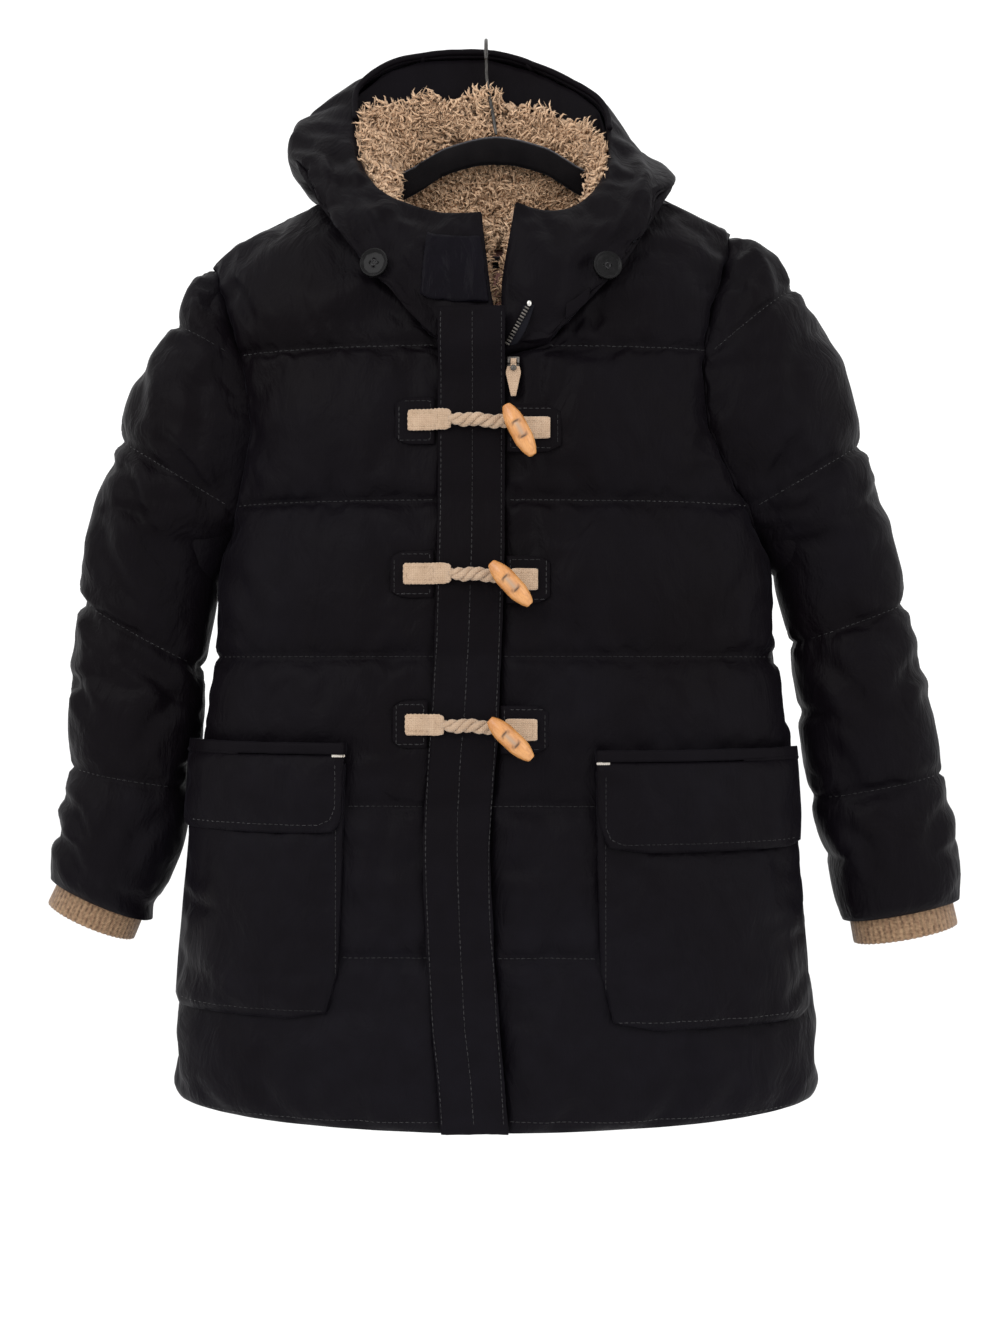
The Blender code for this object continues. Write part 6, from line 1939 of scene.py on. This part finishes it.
    def cord_ends(self, settings):
        """The sewing round each flattened cord end."""
        ends = Sewing(settings)
        for number in (1, 2, 3):
            for name in (f"toggle_tape_{number}", f"toggle_tail_{number}_tape"):
                tree = tree_of(piece(name))
                co = points_of(piece(name).data)
                (x0, _, z0), (x1, _, z1) = co.min(0), co.max(0)
                x1 = min(x1, x0 + 0.024)
                mid, reach = (z0 + z1) / 2, (z1 - z0) / 2
                x0, x1 = x0 + 0.0025, x1 - 0.003
                z0, z1 = mid - reach * 0.6, mid + reach * 0.6
                ends.run([(x0, z1), (x1, z1), (x1, z0), (x0, z0), (x0, z1)], tree, 1, lift=0.0001)
        ends.finish("cord_end_stitches", "cream_cotton", "cream_webbing")


# ------------------------------------------------------------------ stage


class COAT_OT_stage(bpy.types.Operator):
    """Camera, pale floor and soft studio light"""

    bl_idname = "coat.stage"
    bl_label = "Stage"

    def execute(self, context):
        stage = context.scene.coat_stage
        camera = bpy.data.cameras.new("camera")
        # the photograph's long side is upright and takes in a little under a metre at the hook's depth
        half_high = 0.4998750
        camera.sensor_width = 36.0
        camera.lens = camera.sensor_width / 2 * abs(stage.eye[1]) / half_high
        camera.clip_start, camera.clip_end = 0.05, 60.0
        eye = bpy.data.objects.new("camera", camera)
        eye.location = stage.eye
        eye.rotation_euler = (math.pi / 2, 0.0, 0.0)
        context.scene.collection.objects.link(eye)
        context.scene.camera = eye

        bm = bmesh.new()
        bmesh.ops.create_circle(bm, cap_ends=True, segments=96, radius=14.0)
        bmesh.ops.translate(bm, vec=(0, 0, stage.floor), verts=bm.verts)
        floor = to_object("floor", bm)
        floor.data.materials.append(matte_floor("pale_floor", tuple(stage.pale)))
        self.light("key", (-1.3, -1.9, 0.9), (0, 0, -0.40), 1.6, stage.key)
        self.light("fill", (1.7, -1.6, 0.2), (0, 0, -0.45), 1.8, stage.fill)
        self.light("top", (0.0, 0.5, 1.7), (0, 0, -0.3), 1.8, stage.fill * 0.25)
        world = bpy.data.worlds.new("studio")
        world.use_nodes = True
        back = world.node_tree.nodes["Background"]
        back.inputs["Color"].default_value = (1.0, 1.0, 1.0, 1.0)
        back.inputs["Strength"].default_value = 1.18
        context.scene.world = world
        context.scene.view_settings.view_transform = "Standard"
        return {"FINISHED"}

    def light(self, name, place, target, size, power):
        lamp = bpy.data.lights.new(name, "AREA")
        lamp.shape = "SQUARE"
        lamp.size = size
        lamp.energy = power
        obj = bpy.data.objects.new(name, lamp)
        obj.location = place
        obj.rotation_euler = (Vector(target) - Vector(place)).to_track_quat("-Z", "Y").to_euler()
        bpy.context.scene.collection.objects.link(obj)


class COAT_PT_panel(bpy.types.Panel):
    """Sizes, colours and steps of the coat"""

    bl_idname = "COAT_PT_panel"
    bl_label = "Padded Duffle Coat"
    bl_space_type = "VIEW_3D"
    bl_region_type = "UI"
    bl_category = "Coat"

    def draw(self, context):
        for group, steps in STEPS:
            box = self.layout.box()
            settings = getattr(context.scene, group)
            for name in settings.bl_rna.properties.keys():
                if name not in ("rna_type", "name"):
                    box.prop(settings, name)
            for step in steps:
                box.operator(step)


STEPS = (
    ("coat_stage", ("coat.stage",)),
    ("coat_shell", ("coat.shell", "coat.thin_cloth", "coat.seams", "coat.rims")),
    ("coat_fleece", ("coat.fleece",)),
    ("coat_trim", ("coat.cuffs", "coat.closures", "coat.buttons", "coat.zip", "coat.hanger")),
    ("coat_sewing", ("coat.sewing",)),
)
GROUPS = {
    "coat_stage": StageSettings, "coat_shell": ShellSettings, "coat_fleece": FleeceSettings,
    "coat_trim": TrimSettings, "coat_sewing": SewingSettings,
}
CLASSES = (
    *GROUPS.values(), COAT_OT_stage, COAT_OT_shell, COAT_OT_thin_cloth, COAT_OT_seams, COAT_OT_rims,
    COAT_OT_fleece, COAT_OT_cuffs, COAT_OT_closures, COAT_OT_buttons, COAT_OT_zip, COAT_OT_hanger,
    COAT_OT_sewing, COAT_PT_panel,
)


def register():
    for cls in CLASSES:
        bpy.utils.register_class(cls)
    for name, group in GROUPS.items():
        setattr(bpy.types.Scene, name, bpy.props.PointerProperty(type=group))


def unregister():
    for name in GROUPS:
        delattr(bpy.types.Scene, name)
    for cls in reversed(CLASSES):
        bpy.utils.unregister_class(cls)


def main():
    register()
    for _, steps in STEPS:
        for step in steps:
            family, name = step.split(".")
            getattr(getattr(bpy.ops, family), name)()


if __name__ == "__main__":
    main()
